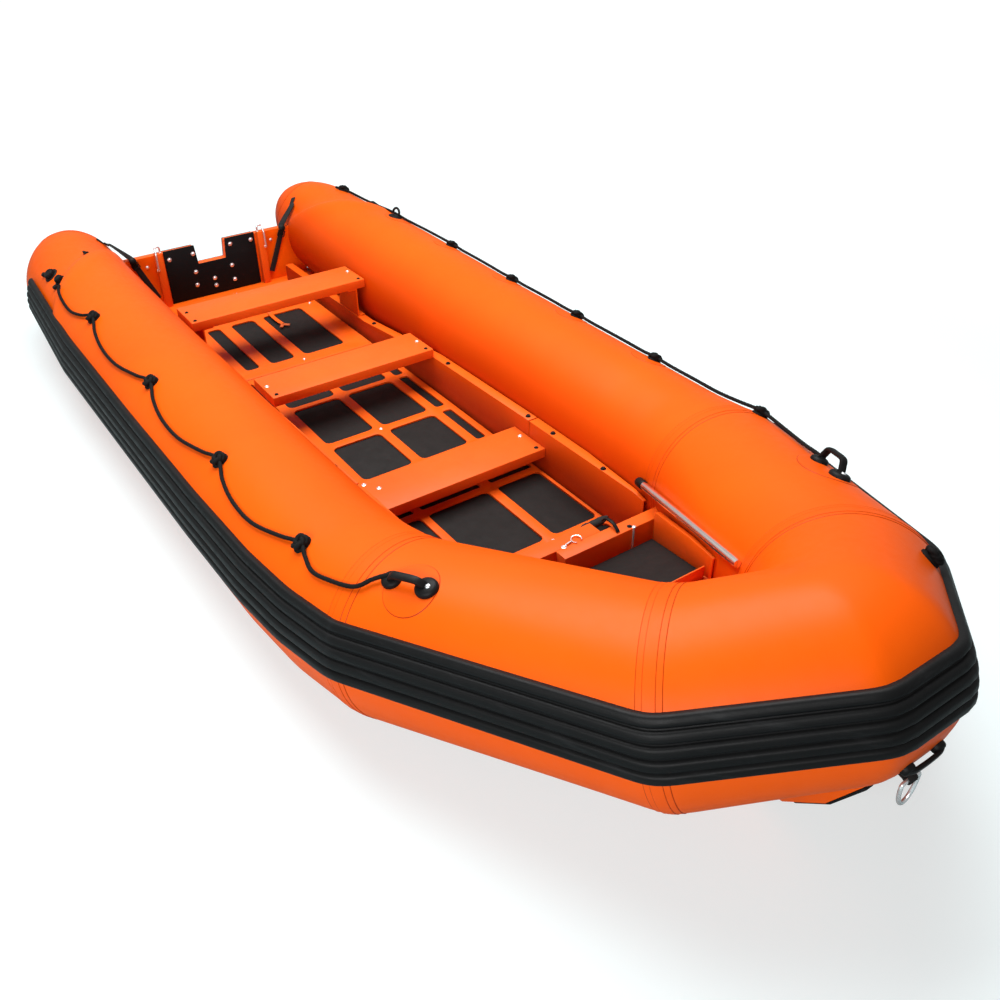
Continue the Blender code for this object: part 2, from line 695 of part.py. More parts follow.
def valve(name, x, side, angle):
    point, normal, along = tube_frame(x, side, angle)
    across = normal.cross(along)
    rings = []
    for height, size in ((-0.006, 0.028), (0.006, 0.028), (0.007, 0.018), (0.022, 0.017)):
        rings.append([point + normal * height + size * (math.cos(a) * along + math.sin(a) * across)
                      for a in (2 * math.pi * k / 12 for k in range(12))])
    cap = add_object(name, finish_mesh(name, loft(rings)), "black_plastic")
    boolean(cap, cutter, "DIFFERENCE")


def build_valves():
    for side, word, aft, fore in ((1, "port", 46.0, 47.0), (-1, "starboard", 51.5, 57.0)):
        valve("valve_aft_" + word, 0.225, side, aft)
        valve("valve_fore_" + word, 0.338, side, fore)


# Pole

def build_pole():
    route = [Vector((2.795, 0.354, 0.3275)), Vector((3.430, 0.1055, 0.5262))]
    pole = add_object("boat_hook_pole", pipe_mesh("boat_hook_pole", route, 0.0125, 12), "aluminium")
    cap = [route[0].lerp(route[1], t) for t in (-0.012, 0.055)]
    cap = add_object("boat_hook_cap", pipe_mesh("boat_hook_cap", cap, 0.0155, 12))
    boolean(pole, cap, "UNION")
    boolean(pole, cutter, "DIFFERENCE")


# Bow handle and towing ring

def nose_point(angle, height, y=0.0):
    # On the underside of the nose, measured like the tube's angles
    centre = Vector((NOSE[0], y, NOSE[2]))
    radius = NOSE_R * math.cos(FACET / 2) + height
    return centre + radius * Vector((math.cos(math.radians(angle)), 0, math.sin(math.radians(angle))))


def build_bow_fittings():
    route = []
    for k in range(9):
        t = k / 8
        y = BOW_HANDLE_HALF * (2 * t - 1)
        route.append(nose_point(BOW_HANDLE_ANGLE, 0.019 + 0.003 * math.sin(math.pi * t), y))
    bar = add_object("bow_handle", pipe_mesh("bow_handle", route, 0.009, 8), "black_plastic")
    for i, y in enumerate((-BOW_HANDLE_HALF, BOW_HANDLE_HALF)):
        centre = nose_point(BOW_HANDLE_ANGLE, 0.0, y)
        normal = (nose_point(BOW_HANDLE_ANGLE, 1.0, y) - centre).normalized()
        across = Vector((-normal.z, 0, normal.x))
        rings = []
        for height, size in ((-0.004, 0.018), (0.019, 0.018), (0.029, 0.011)):
            rings.append([centre + normal * height + size * (math.cos(a) * Vector((0, 1, 0)) + math.sin(a) * across)
                          for a in (2 * math.pi * q / 10 for q in range(10))])
        foot = add_object(f"bow_handle_foot_{i}", finish_mesh(f"bow_handle_foot_{i}", loft(rings)))
        boolean(bar, foot, "UNION")
    boolean(bar, cutter, "DIFFERENCE")
    pivot = Vector(RING_PIVOT)
    ring = add_object("towing_ring", ring_mesh(), "steel")
    ring.location = pivot
    bracket = add_object("towing_bracket", bracket_mesh(), "black_rubber")
    bore = add_object("towing_bore", pipe_mesh("towing_bore", [(pivot.x, -0.05, pivot.z), (pivot.x, 0.05, pivot.z)],
                                               RING_ROD + 0.0012, 12))
    boolean(bracket, bore, "DIFFERENCE")
    boolean(bracket, cutter, "DIFFERENCE")


def ring_mesh():
    # D-shaped ring hanging from its straight top rod, drawn about its own pivot
    route = [Vector((0, y, 0)) for y in (-RING_HALF, 0, RING_HALF)]
    route += [Vector((0, RING_HALF * math.cos(a), -0.012 - (RING_DROP - 0.012) * math.sin(a)))
              for a in (math.radians(d) for d in range(0, 181, 20))]
    return pipe_mesh("towing_ring", route, RING_ROD, 10, closed=True)


def bracket_mesh():
    # Webbing tab from the tube's underside round the ring's rod
    half = 0.014
    pivot = Vector(RING_PIVOT)
    inward = Vector((NOSE[0] - pivot.x, 0, NOSE[2] - pivot.z))
    reach = inward.length - NOSE_R + 0.004
    inward.normalize()
    across = Vector((inward.z, 0, -inward.x))
    corners = ((-0.010, -0.008), (-0.010, 0.008), (reach, 0.014), (reach, -0.014))
    rings = [[pivot + inward * a + across * b + Vector((0, side * half, 0)) for a, b in corners]
             for side in (-1, 1)]
    return finish_mesh("towing_bracket", loft(rings), smooth=False)


# Build

clear_scene()
materials = make_materials()
stations = collar_stations()
boat = bpy.data.objects.new("boat", None)
bpy.context.scene.collection.objects.link(boat)

build_collar()
cutter = collar_cutter()
build_hull()
build_bow_deck()
build_floor()
build_stringers()
build_thwarts()
build_beam()
build_transom()
build_lifelines()
build_handles()
build_valves()
build_pole()
build_bow_fittings()

shown = [item for item in boat.children if not item.hide_render]
ends = [item.location.x + vert.co.x for item in shown for vert in item.data.vertices]
boat.location.x = -(min(ends) + max(ends)) / 2
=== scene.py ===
import json
import math

import bmesh
import bpy
import numpy as np
from mathutils import Matrix, Vector, noise


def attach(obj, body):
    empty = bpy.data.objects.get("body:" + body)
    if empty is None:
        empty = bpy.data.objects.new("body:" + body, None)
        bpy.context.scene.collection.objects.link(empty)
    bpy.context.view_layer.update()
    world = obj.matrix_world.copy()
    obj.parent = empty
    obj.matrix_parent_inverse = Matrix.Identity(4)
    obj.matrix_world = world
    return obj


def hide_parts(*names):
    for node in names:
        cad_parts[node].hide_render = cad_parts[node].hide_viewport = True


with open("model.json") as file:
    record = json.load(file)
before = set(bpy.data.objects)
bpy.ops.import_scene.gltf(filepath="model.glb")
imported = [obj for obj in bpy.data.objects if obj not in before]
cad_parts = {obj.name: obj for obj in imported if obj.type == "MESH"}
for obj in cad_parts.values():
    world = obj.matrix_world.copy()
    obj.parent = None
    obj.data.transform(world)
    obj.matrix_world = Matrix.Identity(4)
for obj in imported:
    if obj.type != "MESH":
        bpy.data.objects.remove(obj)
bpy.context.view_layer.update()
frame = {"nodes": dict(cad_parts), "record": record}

# Rigid inflatable boat. Sizes are metres from the front face of the transom, +X to the bow,
# +Y to port, +Z up from the ground; every mesh is moved by midX when it becomes a piece.
midX = -1.869714


# Camera

camera = {"place": (4.683, -1.483, 2.098), "yaw": 145.56, "pitch": -35.26, "roll": -0.57, "lens": 35.28,
          "sensor": 36, "farClip": 100}


def newObject(name, data):
    item = bpy.data.objects.new(name, data)
    bpy.context.scene.collection.objects.link(item)
    return item


def addCamera():
    data = bpy.data.cameras.new("photoCamera")
    data.lens = camera["lens"]
    data.sensor_width = camera["sensor"]
    data.clip_end = camera["farClip"]
    yaw, pitch, roll = (math.radians(camera[k]) for k in ("yaw", "pitch", "roll"))
    ahead = Vector((math.cos(yaw) * math.cos(pitch), math.sin(yaw) * math.cos(pitch), math.sin(pitch)))
    right = Vector((math.sin(yaw), -math.cos(yaw), 0))
    up = right.cross(ahead)
    turned = math.cos(roll) * right + math.sin(roll) * up
    top = math.cos(roll) * up - math.sin(roll) * right
    view = Matrix((turned, top, -ahead)).transposed().to_4x4()
    view.translation = Vector(camera["place"]) + Vector((midX, 0, 0))
    item = newObject("photoCamera", data)
    item.matrix_world = view
    bpy.context.scene.camera = item


addCamera()
print("camera placed")


# Shader node groups

def addNode(tree, kind, values=(), **settings):
    # each value is a constant, or the socket that feeds the input
    node = tree.nodes.new("ShaderNode" + kind)
    for key, value in settings.items():
        setattr(node, key, value)
    for key, value in dict(values).items():
        if isinstance(value, bpy.types.NodeSocket):
            tree.links.new(value, node.inputs[key])
        else:
            node.inputs[key].default_value = value
    return node


def math2(tree, operation, first, second=0.0):
    return addNode(tree, "Math", {0: first, 1: second}, operation=operation).outputs[0]


def objectPlace(tree):
    return addNode(tree, "TexCoord").outputs["Object"]


def geometry(tree, output):
    return addNode(tree, "NewGeometry").outputs[output]


def splitVector(tree, vector):
    return addNode(tree, "SeparateXYZ", {0: vector}).outputs


def clampValue(tree, value):
    return addNode(tree, "Clamp", {0: value}).outputs[0]


def addNoise(tree, place, scale, detail, roughness=0.5, distortion=0.0):
    values = {"Vector": place, "Scale": scale, "Detail": detail, "Roughness": roughness, "Distortion": distortion}
    return addNode(tree, "TexNoise", values).outputs["Fac"]


def softMottle(tree, given):
    # soft cloudy variation from 0 to 1
    cloud = addNoise(tree, objectPlace(tree), given["Scale"], 5.0, 0.6, 0.4)
    centred = math2(tree, "SUBTRACT", cloud, 0.5)
    return math2(tree, "ADD", math2(tree, "MULTIPLY", centred, given["Contrast"]), 0.5)


def fineGrain(tree, given):
    # fine pebbled grain of coated cloth, rubber or cast plastic
    place = objectPlace(tree)
    cells = addNode(tree, "TexVoronoi", {"Vector": place, "Scale": given["Scale"], "Randomness": 0.9})
    speck = addNoise(tree, place, given["Scale"], 3.0)
    return math2(tree, "ADD", cells.outputs["Distance"], math2(tree, "MULTIPLY", speck, 0.5))


def baseWeave(tree, given):
    # cloth threads under the coating, along and across the boat
    waves = [math2(tree, "SINE", math2(tree, "MULTIPLY", axis, given["Threads"]))
             for axis in splitVector(tree, objectPlace(tree))]
    return math2(tree, "MULTIPLY", waves[0], math2(tree, "ADD", waves[1], waves[2]))


def edgeWear(tree, given):
    # convex edges, broken up by noise
    above = math2(tree, "SUBTRACT", geometry(tree, "Pointiness"), given["Start"])
    chips = addNoise(tree, objectPlace(tree), given["Scale"], 6.0, 0.7)
    return clampValue(tree, math2(tree, "MULTIPLY", math2(tree, "DIVIDE", above, given["Width"]), chips))


def settledDust(tree, given):
    # dry dust that settles on what faces up
    facing = math2(tree, "MAXIMUM", splitVector(tree, geometry(tree, "Normal"))["Z"], 0.0)
    drift = addNoise(tree, objectPlace(tree), given["Scale"], 8.0, 0.65)
    return clampValue(tree, math2(tree, "MULTIPLY", math2(tree, "MULTIPLY", facing, drift), given["Amount"]))


def rubbedStreaks(tree, given):
    # thin rubbed streaks along the boat
    stretched = addNode(tree, "Mapping", {"Vector": objectPlace(tree), "Scale": (0.25, 1.0, 6.0)})
    streak = addNoise(tree, stretched.outputs[0], given["Scale"], 9.0, 0.75)
    return clampValue(tree, math2(tree, "MULTIPLY", math2(tree, "SUBTRACT", streak, given["Level"]), 6.0))


def cockpitGrime(tree, given):
    # painted shade: darker low on the faces that look in at the cockpit, standing in for the cockpit's shade
    place, facing = splitVector(tree, objectPlace(tree)), splitVector(tree, geometry(tree, "Normal"))
    ahead = math2(tree, "SUBTRACT", math2(tree, "MINIMUM", place["X"], 0.9), place["X"])
    along = math2(tree, "MULTIPLY", ahead, facing["X"])
    across = math2(tree, "MULTIPLY", place["Y"], facing["Y"])
    inward = math2(tree, "SUBTRACT", along, across)
    steep = addNode(tree, "MapRange", {"Value": inward, "From Min": 0.02, "From Max": 0.36})
    low = addNode(tree, "MapRange", {"Value": place["Z"], "From Min": given["Top"], "From Max": given["Bottom"]})
    return math2(tree, "MULTIPLY", steep.outputs[0], low.outputs[0])


def makeGroup(name, build, output, **inputs):
    group = bpy.data.node_groups.new(name, "ShaderNodeTree")
    for label, value in inputs.items():
        socket = group.interface.new_socket(name=label, in_out="INPUT", socket_type="NodeSocketFloat")
        socket.default_value = value
    group.interface.new_socket(name=output, in_out="OUTPUT", socket_type="NodeSocketFloat")
    given, end = group.nodes.new("NodeGroupInput").outputs, group.nodes.new("NodeGroupOutput")
    group.links.new(build(group, given), end.inputs[output])
    return group


groups = {
    "mottle": makeGroup("softMottle", softMottle, "Value", Scale=4.0, Contrast=1.0),
    "grain": makeGroup("fineGrain", fineGrain, "Height", Scale=700.0),
    "weave": makeGroup("baseWeave", baseWeave, "Height", Threads=900.0),
    "wear": makeGroup("edgeWear", edgeWear, "Mask", Start=0.53, Width=0.06, Scale=30.0),
    "dust": makeGroup("settledDust", settledDust, "Mask", Amount=0.4, Scale=14.0),
    "scuffs": makeGroup("rubbedStreaks", rubbedStreaks, "Mask", Scale=3.0, Level=0.62),
    "hollow": makeGroup("cockpitGrime", cockpitGrime, "Mask", Top=0.50, Bottom=0.20),
}


# Materials

def newMaterial(name, colour, roughness, metallic=0.0, gloss=0.11):
    material = bpy.data.materials.new(name)
    material.use_nodes = True
    shader = material.node_tree.nodes["Principled BSDF"]
    values = {"Base Color": (*colour, 1.0), "Roughness": roughness, "Metallic": metallic,
              "Specular IOR Level": 0.5 if metallic else gloss}
    for label, value in values.items():
        shader.inputs[label].default_value = value
    return material, material.node_tree, shader


def useGroup(tree, key, *values):
    node = tree.nodes.new("ShaderNodeGroup")
    node.node_tree = groups[key]
    for socket, value in zip(node.inputs, values):
        socket.default_value = value
    return node.outputs[0]


def blendColours(tree, mask, first, second):
    first, second = ((*colour, 1.0) if isinstance(colour, tuple) else colour for colour in (first, second))
    return addNode(tree, "Mix", {0: mask, 6: first, 7: second}, data_type="RGBA").outputs[2]


def spread(tree, mask, low, high):
    return addNode(tree, "MapRange", {"Value": mask, "To Min": low, "To Max": high}).outputs[0]


def makeFinish(name, colour, roughness, layers, cloud, bumps, metallic=0.0, gloss=0.11):
    # layers: a group, its values and the colour laid over; cloud: the mottle's scale and contrast, and how far it
    # takes the roughness down and up; bumps: a group, its values, strength and depth
    material, tree, shader = newMaterial(name, colour, roughness, metallic, gloss)
    base, normal = colour, {}
    for key, values, over in layers:
        base = blendColours(tree, useGroup(tree, key, *values), base, over)
    tree.links.new(base, shader.inputs["Base Color"])
    scale, contrast, down, up = cloud
    rough = spread(tree, useGroup(tree, "mottle", scale, contrast), roughness - down, roughness + up)
    tree.links.new(rough, shader.inputs["Roughness"])
    for key, values, strength, depth in bumps:
        height = useGroup(tree, key, *values)
        bump = addNode(tree, "Bump", {"Height": height, "Strength": strength, "Distance": depth, **normal})
        normal = {"Normal": bump.outputs[0]}
    tree.links.new(bump.outputs[0], shader.inputs["Normal"])
    return material


def makeCoatedCloth(name, colour, deeper, roughness):
    # the hollow layer is painted shade, darker low on the faces that look in at the cockpit
    layers = (("mottle", (2.2, 1.6), deeper), ("dust", (0.10, 5.0), (0.90, 0.17, 0.022)),
              ("hollow", (0.50, 0.22), (0.40, 0.018, 0.0006)))
    bumps = (("mottle", (2.2, 1.6), 0.25, 0.004), ("weave", (1500.0,), 0.10, 0.0002), ("grain", (520.0,), 0.10, 0.0004))
    material = makeFinish(name, colour, roughness, layers, (38.0, 1.2, 0.07, 0.09), bumps)
    coat = material.node_tree.nodes["Principled BSDF"].inputs
    coat["Coat Weight"].default_value, coat["Coat Roughness"].default_value = 0.04, 0.30
    return material


def makePaint(name, colour, deeper, bare, roughness):
    # the hollow layer is painted shade, darker low on the faces that look in at the cockpit
    layers = (("mottle", (6.0, 1.4), deeper), ("dust", (0.22, 16.0), (0.88, 0.20, 0.035)),
              ("hollow", (0.42, 0.16), (0.34, 0.020, 0.0010)), ("wear", (0.56, 0.05, 45.0), bare))
    bumps = (("grain", (240.0,), 0.16, 0.0005),)
    return makeFinish(name, colour, roughness, layers, (70.0, 1.0, 0.08, 0.12), bumps, gloss=0.20)


def makeRubber(name, colour, rubbed, roughness, scale, scuffed, gloss=0.17):
    layers = (("scuffs", (5.0, 0.55), rubbed), ("wear", (0.52, 0.10, 20.0), rubbed),
              ("dust", (scuffed, 9.0), (0.10, 0.095, 0.09)))
    bumps = (("grain", (scale,), 0.25, 0.0005),)
    return makeFinish(name, colour, roughness, layers, (25.0, 1.5, 0.08, 0.12), bumps, gloss=gloss)


def makeMetal(name, colour, dull, roughness, metallic=1.0):
    bumps = (("grain", (900.0,), 0.02, 0.0001),)
    layers = (("scuffs", (12.0, 0.60), dull),)
    return makeFinish(name, colour, roughness, layers, (30.0, 1.0, 0.04, 0.08), bumps, metallic)


def makeRope(name, colour, lighter):
    # braided cover: crossing strands from the rope's own length and turn coordinates
    material, tree, shader = newMaterial(name, colour, 0.75)
    place = splitVector(tree, addNode(tree, "UVMap", uv_map="UVMap").outputs[0])
    along = math2(tree, "MULTIPLY", place["X"], 2 * math.pi * 1.5)
    turned = [math2(tree, "MULTIPLY", place["Y"], 2 * math.pi * strands) for strands in (6, -6)]
    plaits = [math2(tree, "SINE", math2(tree, "ADD", turn, along)) for turn in turned]
    height = math2(tree, "MAXIMUM", *plaits)
    colours = blendColours(tree, spread(tree, height, 0.0, 0.5), colour, lighter)
    bump = addNode(tree, "Bump", {"Height": height, "Strength": 0.6, "Distance": 0.0008})
    tree.links.new(colours, shader.inputs["Base Color"])
    tree.links.new(bump.outputs[0], shader.inputs["Normal"])
    return material


orange = {"skin": (0.93, 0.115, 0.0012), "skinDeep": (0.87, 0.095, 0.0009), "paint": (0.92, 0.117, 0.0020),
          "paintDeep": (0.85, 0.097, 0.0016), "underPaint": (0.42, 0.14, 0.06)}
mats = {
    "tube_fabric": makeCoatedCloth("tubeFabric", orange["skin"], orange["skinDeep"], 0.42),
    "seamTape": makeCoatedCloth("seamTape", (0.91, 0.108, 0.0011), (0.85, 0.090, 0.0009), 0.46),
    # dark edge colour of tapes and patches: partly glue, partly painted shade along their edges
    "glueEdge": makeCoatedCloth("glueEdge", (0.52, 0.045, 0.0006), (0.42, 0.030, 0.0005), 0.50),
    "strake_rubber": makeRubber("strakeRubber", (0.0042, 0.0046, 0.0050), (0.014, 0.0150, 0.016), 0.42, 260.0, 0.08,
                                0.12),
    "hull_paint": makePaint("hullPaint", orange["paint"], orange["paintDeep"], (0.55, 0.20, 0.09), 0.30),
    "metal_paint": makePaint("metalPaint", orange["paint"], orange["paintDeep"], orange["underPaint"], 0.42),
    "floor_mat": makeRubber("floorMat", (0.0075, 0.0058, 0.0052), (0.013, 0.011, 0.010), 0.66, 420.0, 0.08),
    "motor_plate": makeRubber("motorPlate", (0.0050, 0.0054, 0.0060), (0.010, 0.011, 0.012), 0.55, 500.0, 0.08, 0.10),
    "steel": makeMetal("stainlessSteel", (0.84, 0.86, 0.88), (0.74, 0.76, 0.78), 0.24, 0.72),
    "webbing": makeRubber("blackWebbing", (0.012, 0.011, 0.011), (0.025, 0.024, 0.023), 0.70, 1400.0, 0.2),
    # the pole metal's pinkish tint, in its scuffs too, is a painted reflection of the orange boat around it
    "pole_metal": makeMetal("poleMetal", (0.95, 0.86, 0.82), (0.92, 0.82, 0.78), 0.20),
    "black_plastic": makeRubber("blackPlastic", (0.0040, 0.0040, 0.0042), (0.010, 0.010, 0.0105), 0.42, 600.0, 0.08,
                                0.12),
    "rope": makeRope("braidedRope", (0.007, 0.007, 0.007), (0.020, 0.019, 0.018)),
}
print("materials made")


# Mesh helpers

def camel(name):
    # a CAD node's name as the name of the piece that replaces it
    first, *rest = name.split("_")
    return first + "".join(word.title() for word in rest)


def addPiece(name, bm, slotName, nodes=(), body="boat", material=None, angle=34, extra=()):
    bmesh.ops.recalc_face_normals(bm, faces=bm.faces)
    bmesh.ops.translate(bm, verts=bm.verts, vec=(midX, 0, 0))
    mesh = bpy.data.meshes.new(name)
    bm.to_mesh(mesh)
    bm.free()
    mesh.shade_smooth()
    mesh.set_sharp_from_angle(angle=math.radians(angle))
    for key in (material or slotName, *extra):
        mesh.materials.append(mats[key])
    item = newObject(name, mesh)
    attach(item, body)
    if nodes:
        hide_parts(*nodes)
    return item


def skin(bm, rings, closed=False, caps=True, around=True, index=0):
    # faces between equal rings of points; a uv layer counts along and round them
    uv = bm.loops.layers.uv.verify()
    verts = [[bm.verts.new(p) for p in ring] for ring in rings]
    count = len(rings[0])
    for low in range(len(rings) if closed else len(rings) - 1):
        high = (low + 1) % len(rings)
        for i in range(count if around else count - 1):
            j = (i + 1) % count
            face = bm.faces.new((verts[low][i], verts[low][j], verts[high][j], verts[high][i]))
            face.material_index = index
            for loop, place in zip(face.loops, ((low, i), (low, i + 1), (low + 1, i + 1), (low + 1, i))):
                loop[uv].uv = (place[0] / 3, place[1] / count)
    if caps and not closed:
        bm.faces.new(verts[0][::-1]).material_index = index
        bm.faces.new(verts[-1]).material_index = index
    return verts


def heading(route, i, closed=False):
    # the way a route runs at one of its points
    before = route[i - 1] if i > 0 or closed else route[i]
    after = route[(i + 1) % len(route)] if i < len(route) - 1 or closed else route[i]
    return (after - before).normalized()


def arcPoints(centre, first, second, degrees):
    # points round a centre, from the first arm towards the second
    return [centre + first * math.cos(a) + second * math.sin(a) for a in map(math.radians, degrees)]


def addPipe(bm, route, radius, sides=12, closed=False, lobes=0, pitch=0.04, index=0, flat=1.0):
    # rod with no sudden roll; lobes give twisted strands, radius may be one number or one per point
    rings, travelled, side = [], 0.0, None
    for i, point in enumerate(route):
        along = heading(route, i, closed)
        if side is None:
            side = along.cross(Vector((0, 0, 1)))
            if side.length < 0.1:
                side = along.cross(Vector((0, 1, 0)))
        side = (side - along * side.dot(along)).normalized()
        top = along.cross(side)
        if i:
            travelled += (point - route[i - 1]).length
        size = radius[i] if isinstance(radius, list) else radius
        ring = []
        for a in (2 * math.pi * k / sides for k in range(sides)):
            strand = 0.90 + 0.13 * abs(math.cos(lobes / 2 * (a - 2 * math.pi * travelled / pitch))) if lobes else 1.0
            ring.append(point + size * strand * (math.cos(a) * side + math.sin(a) * top * flat))
        rings.append(ring)
    skin(bm, rings, closed, index=index)


def addLathe(bm, profile, point, normal, along, sides=24, stretch=1.0, index=0):
    # turns (radius, height) pairs about the normal; stretch lengthens it along
    across = normal.cross(along).normalized()
    along = across.cross(normal).normalized() * stretch
    turns = [360 * k / sides for k in range(sides)]
    rings = [arcPoints(point + normal * high, along * radius, across * radius, turns) for radius, high in profile]
    skin(bm, rings, index=index)


def addBlock(bm, low, high, edge):
    # box with rounded edges
    verts = bmesh.ops.create_cube(bm, size=1)["verts"]
    for vert in verts:
        vert.co = Vector([low[i] + (high[i] - low[i]) * (vert.co[i] + 0.5) for i in range(3)])
    edges = list({e for v in verts for e in v.link_edges})
    bmesh.ops.bevel(bm, geom=edges, offset=edge, segments=2, affect="EDGES", profile=0.5)


def addStrap(bm, route, faces, width, thick):
    # flat bar or webbing with rounded edges; faces gives the way its flat side looks
    rings, bend = [], min(width, thick) * 0.45
    for i, point in enumerate(route):
        along = heading(route, i)
        wide = along.cross(faces[i] if isinstance(faces, list) else faces).normalized()
        out = wide.cross(along).normalized()
        ring = []
        for sideways, outward, start in ((1, 1, 0), (-1, 1, 90), (-1, -1, 180), (1, -1, 270)):
            corner = point + wide * (sideways * (width / 2 - bend)) + out * (outward * (thick / 2 - bend))
            ring += arcPoints(corner, wide * bend, out * bend, (start, start + 45, start + 90))
        rings.append(ring)
    skin(bm, rings)


# each: number of sides, then (radius, height) pairs
bolts = {"washer": (20, (0.0085, -0.0004), (0.0085, 0.0010), (0.0078, 0.0014), (0.0050, 0.0014)),
         "nut": (6, (0.0062, 0.0012), (0.0064, 0.0048), (0.0052, 0.0058)),
         "dome": (16, (0.0060, 0.0012), (0.0059, 0.0028), (0.0048, 0.0044), (0.0028, 0.0053))}


def addBolt(bm, point, normal, size=1.0, head="dome"):
    normal = Vector(normal).normalized()
    along = normal.cross(Vector((0.3, 0.9, 0.2))).normalized()
    for sides, *profile in (bolts["washer"], bolts[head]):
        addLathe(bm, [(r * size, h * size) for r, h in profile], Vector(point), normal, along, sides)


def easeRoute(points, steps):
    # smooth curve through the points
    points = [Vector(p) for p in points]
    padded = [2 * points[0] - points[1]] + points + [2 * points[-1] - points[-2]]
    route = []
    for a, b, c, d in zip(padded, padded[1:], padded[2:], padded[3:]):
        for t in (k / steps for k in range(steps)):
            route.append(0.5 * ((2 * b) + (c - a) * t + (2 * a - 5 * b + 4 * c - d) * t * t
                                + (3 * b - a - 3 * c + d) * t * t * t))
    return route + [points[-1]]


def evenRoute(points, step):
    # the same route with points an equal distance apart
    lengths = np.cumsum([0.0] + [(b - a).length for a, b in zip(points, points[1:])])
    marks = np.linspace(0, lengths[-1], max(2, round(lengths[-1] / step)) + 1)
    axes = [np.interp(marks, lengths, [p[i] for p in points]) for i in range(3)]
    return [Vector(p) for p in zip(*axes)]


def softenNode(name, slotName, edge):
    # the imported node's own solid, welded, with its flat faces whole again and its edges rounded
    bm, node = bmesh.new(), frame["nodes"][name]
    bm.from_mesh(node.data)
    bm.transform(node.matrix_world)
    bmesh.ops.translate(bm, verts=bm.verts, vec=(-midX, 0, 0))
    bmesh.ops.remove_doubles(bm, verts=bm.verts, dist=0.00002)
    bmesh.ops.dissolve_limit(bm, angle_limit=math.radians(0.6), verts=bm.verts, edges=bm.edges)
    sharp = [e for e in bm.edges if len(e.link_faces) == 2 and e.calc_face_angle(0) > math.radians(20)]
    bmesh.ops.bevel(bm, geom=sharp, offset=edge, segments=2, affect="EDGES", profile=0.5, clamp_overlap=True)
    bmesh.ops.remove_doubles(bm, verts=bm.verts, dist=0.00001)
    addPiece(camel(name), bm, slotName, [name])


# Collar

collar = {"coneLength": 0.330, "conePower": 2.1, "coneIn": 0.089, "coneUp": 0.105, "around": 112, "ease": 0.075,
          "line": ((0.0, .648, .284, .226, -7.5), (0.75, .660, .250, .250, -5.0), (1.5, .650, .250, .250, -5.5),
                   (2.1, .645, .252, .250, -4.0), (2.5, .638, .257, .250, -2.0), (2.72, .622, .268, .250, -1.0),
                   (2.921, .595, .301, .250, 0.0), (3.627, .284, .451, .250, 0.0), (3.828, .027, .546, .244, 1.5)),
          "slack": 0.0010, "swell": 0.0125, "swellWidth": 0.009, "swellAt": 0.42, "swellSlant": 0.0039,
          "wrinkle": 0.0012, "wrinkleAt": 1.60, "wrinkleTurn": 104, "noseGap": 0.0005, "swellRings": 88,
          "nearBend": (0, .008, .018, .030, .044, .060, .080, .105, .14, .18)}
coneSteps = [0.985, 0.965, 0.93, 0.88, 0.82, 0.75, 0.67, 0.58, 0.48, 0.37, 0.25, 0.12]
coneCount = len(coneSteps)
tubeRadius = 0.25


def collarStations():
    # centre, radius and the strake's turn in degrees, from the port tip round to the starboard tip
    port = []
    x, y, z, full, turn = collar["line"][0]
    for fraction in coneSteps:
        radius = full * (1 - fraction ** collar["conePower"]) ** (1 / collar["conePower"])
        lean = fraction ** 1.5
        port.append((Vector((x - collar["coneLength"] * fraction, y - collar["coneIn"] * lean,
                             z + collar["coneUp"] * lean)), radius, turn))
    port += [(Vector((x, y, z)), radius, turn) for x, y, z, radius, turn in collar["line"]]
    return port + [(Vector((p.x, -p.y, p.z)), r, t) for p, r, t in reversed(port)]


stations = collarStations()
lastStation = len(stations) - 1
portShoulder = coneCount + len(collar["line"]) - 3
portQuarter = portShoulder + 1
starShoulder, starQuarter = lastStation - portShoulder, lastStation - portQuarter
roundTurns = [360 * k / collar["around"] for k in range(collar["around"])]


def outOf(along, angle):
    # the way out of a tube that runs along, at an angle above its outermost line
    out = Vector((-along.y, along.x, 0)).normalized()
    return math.cos(math.radians(angle)) * out + math.sin(math.radians(angle)) * along.cross(out)


def mitrePoint(station, angle, height):
    # skin point on a station's mitre
    centre, radius, twist = stations[station]
    ahead = stations[min(station + 1, lastStation)][0]
    behind = stations[max(station - 1, 0)][0]
    runs = [r.normalized() for r in (centre - behind, ahead - centre) if r.length > 0]
    mitre = sum(runs, Vector()).normalized()
    total = Vector()
    for along in runs:
        ray = (radius + height) * outOf(along, angle + twist)
        total += centre + ray - along * (ray.dot(mitre) / along.dot(mitre))
        if abs(along.x) > 0.1:
            slanted, level = along, centre + ray
    point = total / len(runs)
    side = math.copysign(1, centre.y)
    if point.y * side < collar["noseGap"]:  # the two bow tubes meet on the middle plane
        point = level + slanted * ((collar["noseGap"] * side - level.y) / slanted.y)
    return point


def ringCuts(first, last):
    # where rings stand between two stations: close together near the bends, closest behind the cones, for the swell
    cuts = []
    for k in range(first, last):
        length = (stations[k + 1][0] - stations[k][0]).length
        if k < coneCount or k >= lastStation - coneCount:
            marks = (0.0, 0.5)
        elif k in (coneCount, lastStation - coneCount - 1):
            marks = [t / collar["swellRings"] for t in range(collar["swellRings"])]
        else:
            near = [d for d in collar["nearBend"] if d < length / 2 - 0.01]
            gap = length - 2 * near[-1]
            count = max(1, math.ceil(gap / 0.05))
            middle = [near[-1] + gap * i / count for i in range(1, count)]
            marks = [m / length for m in near + middle + [length - d for d in reversed(near)][:-1]]
        cuts += [(k, mark) for mark in marks]
    return cuts + [(last - 1, 1.0)]


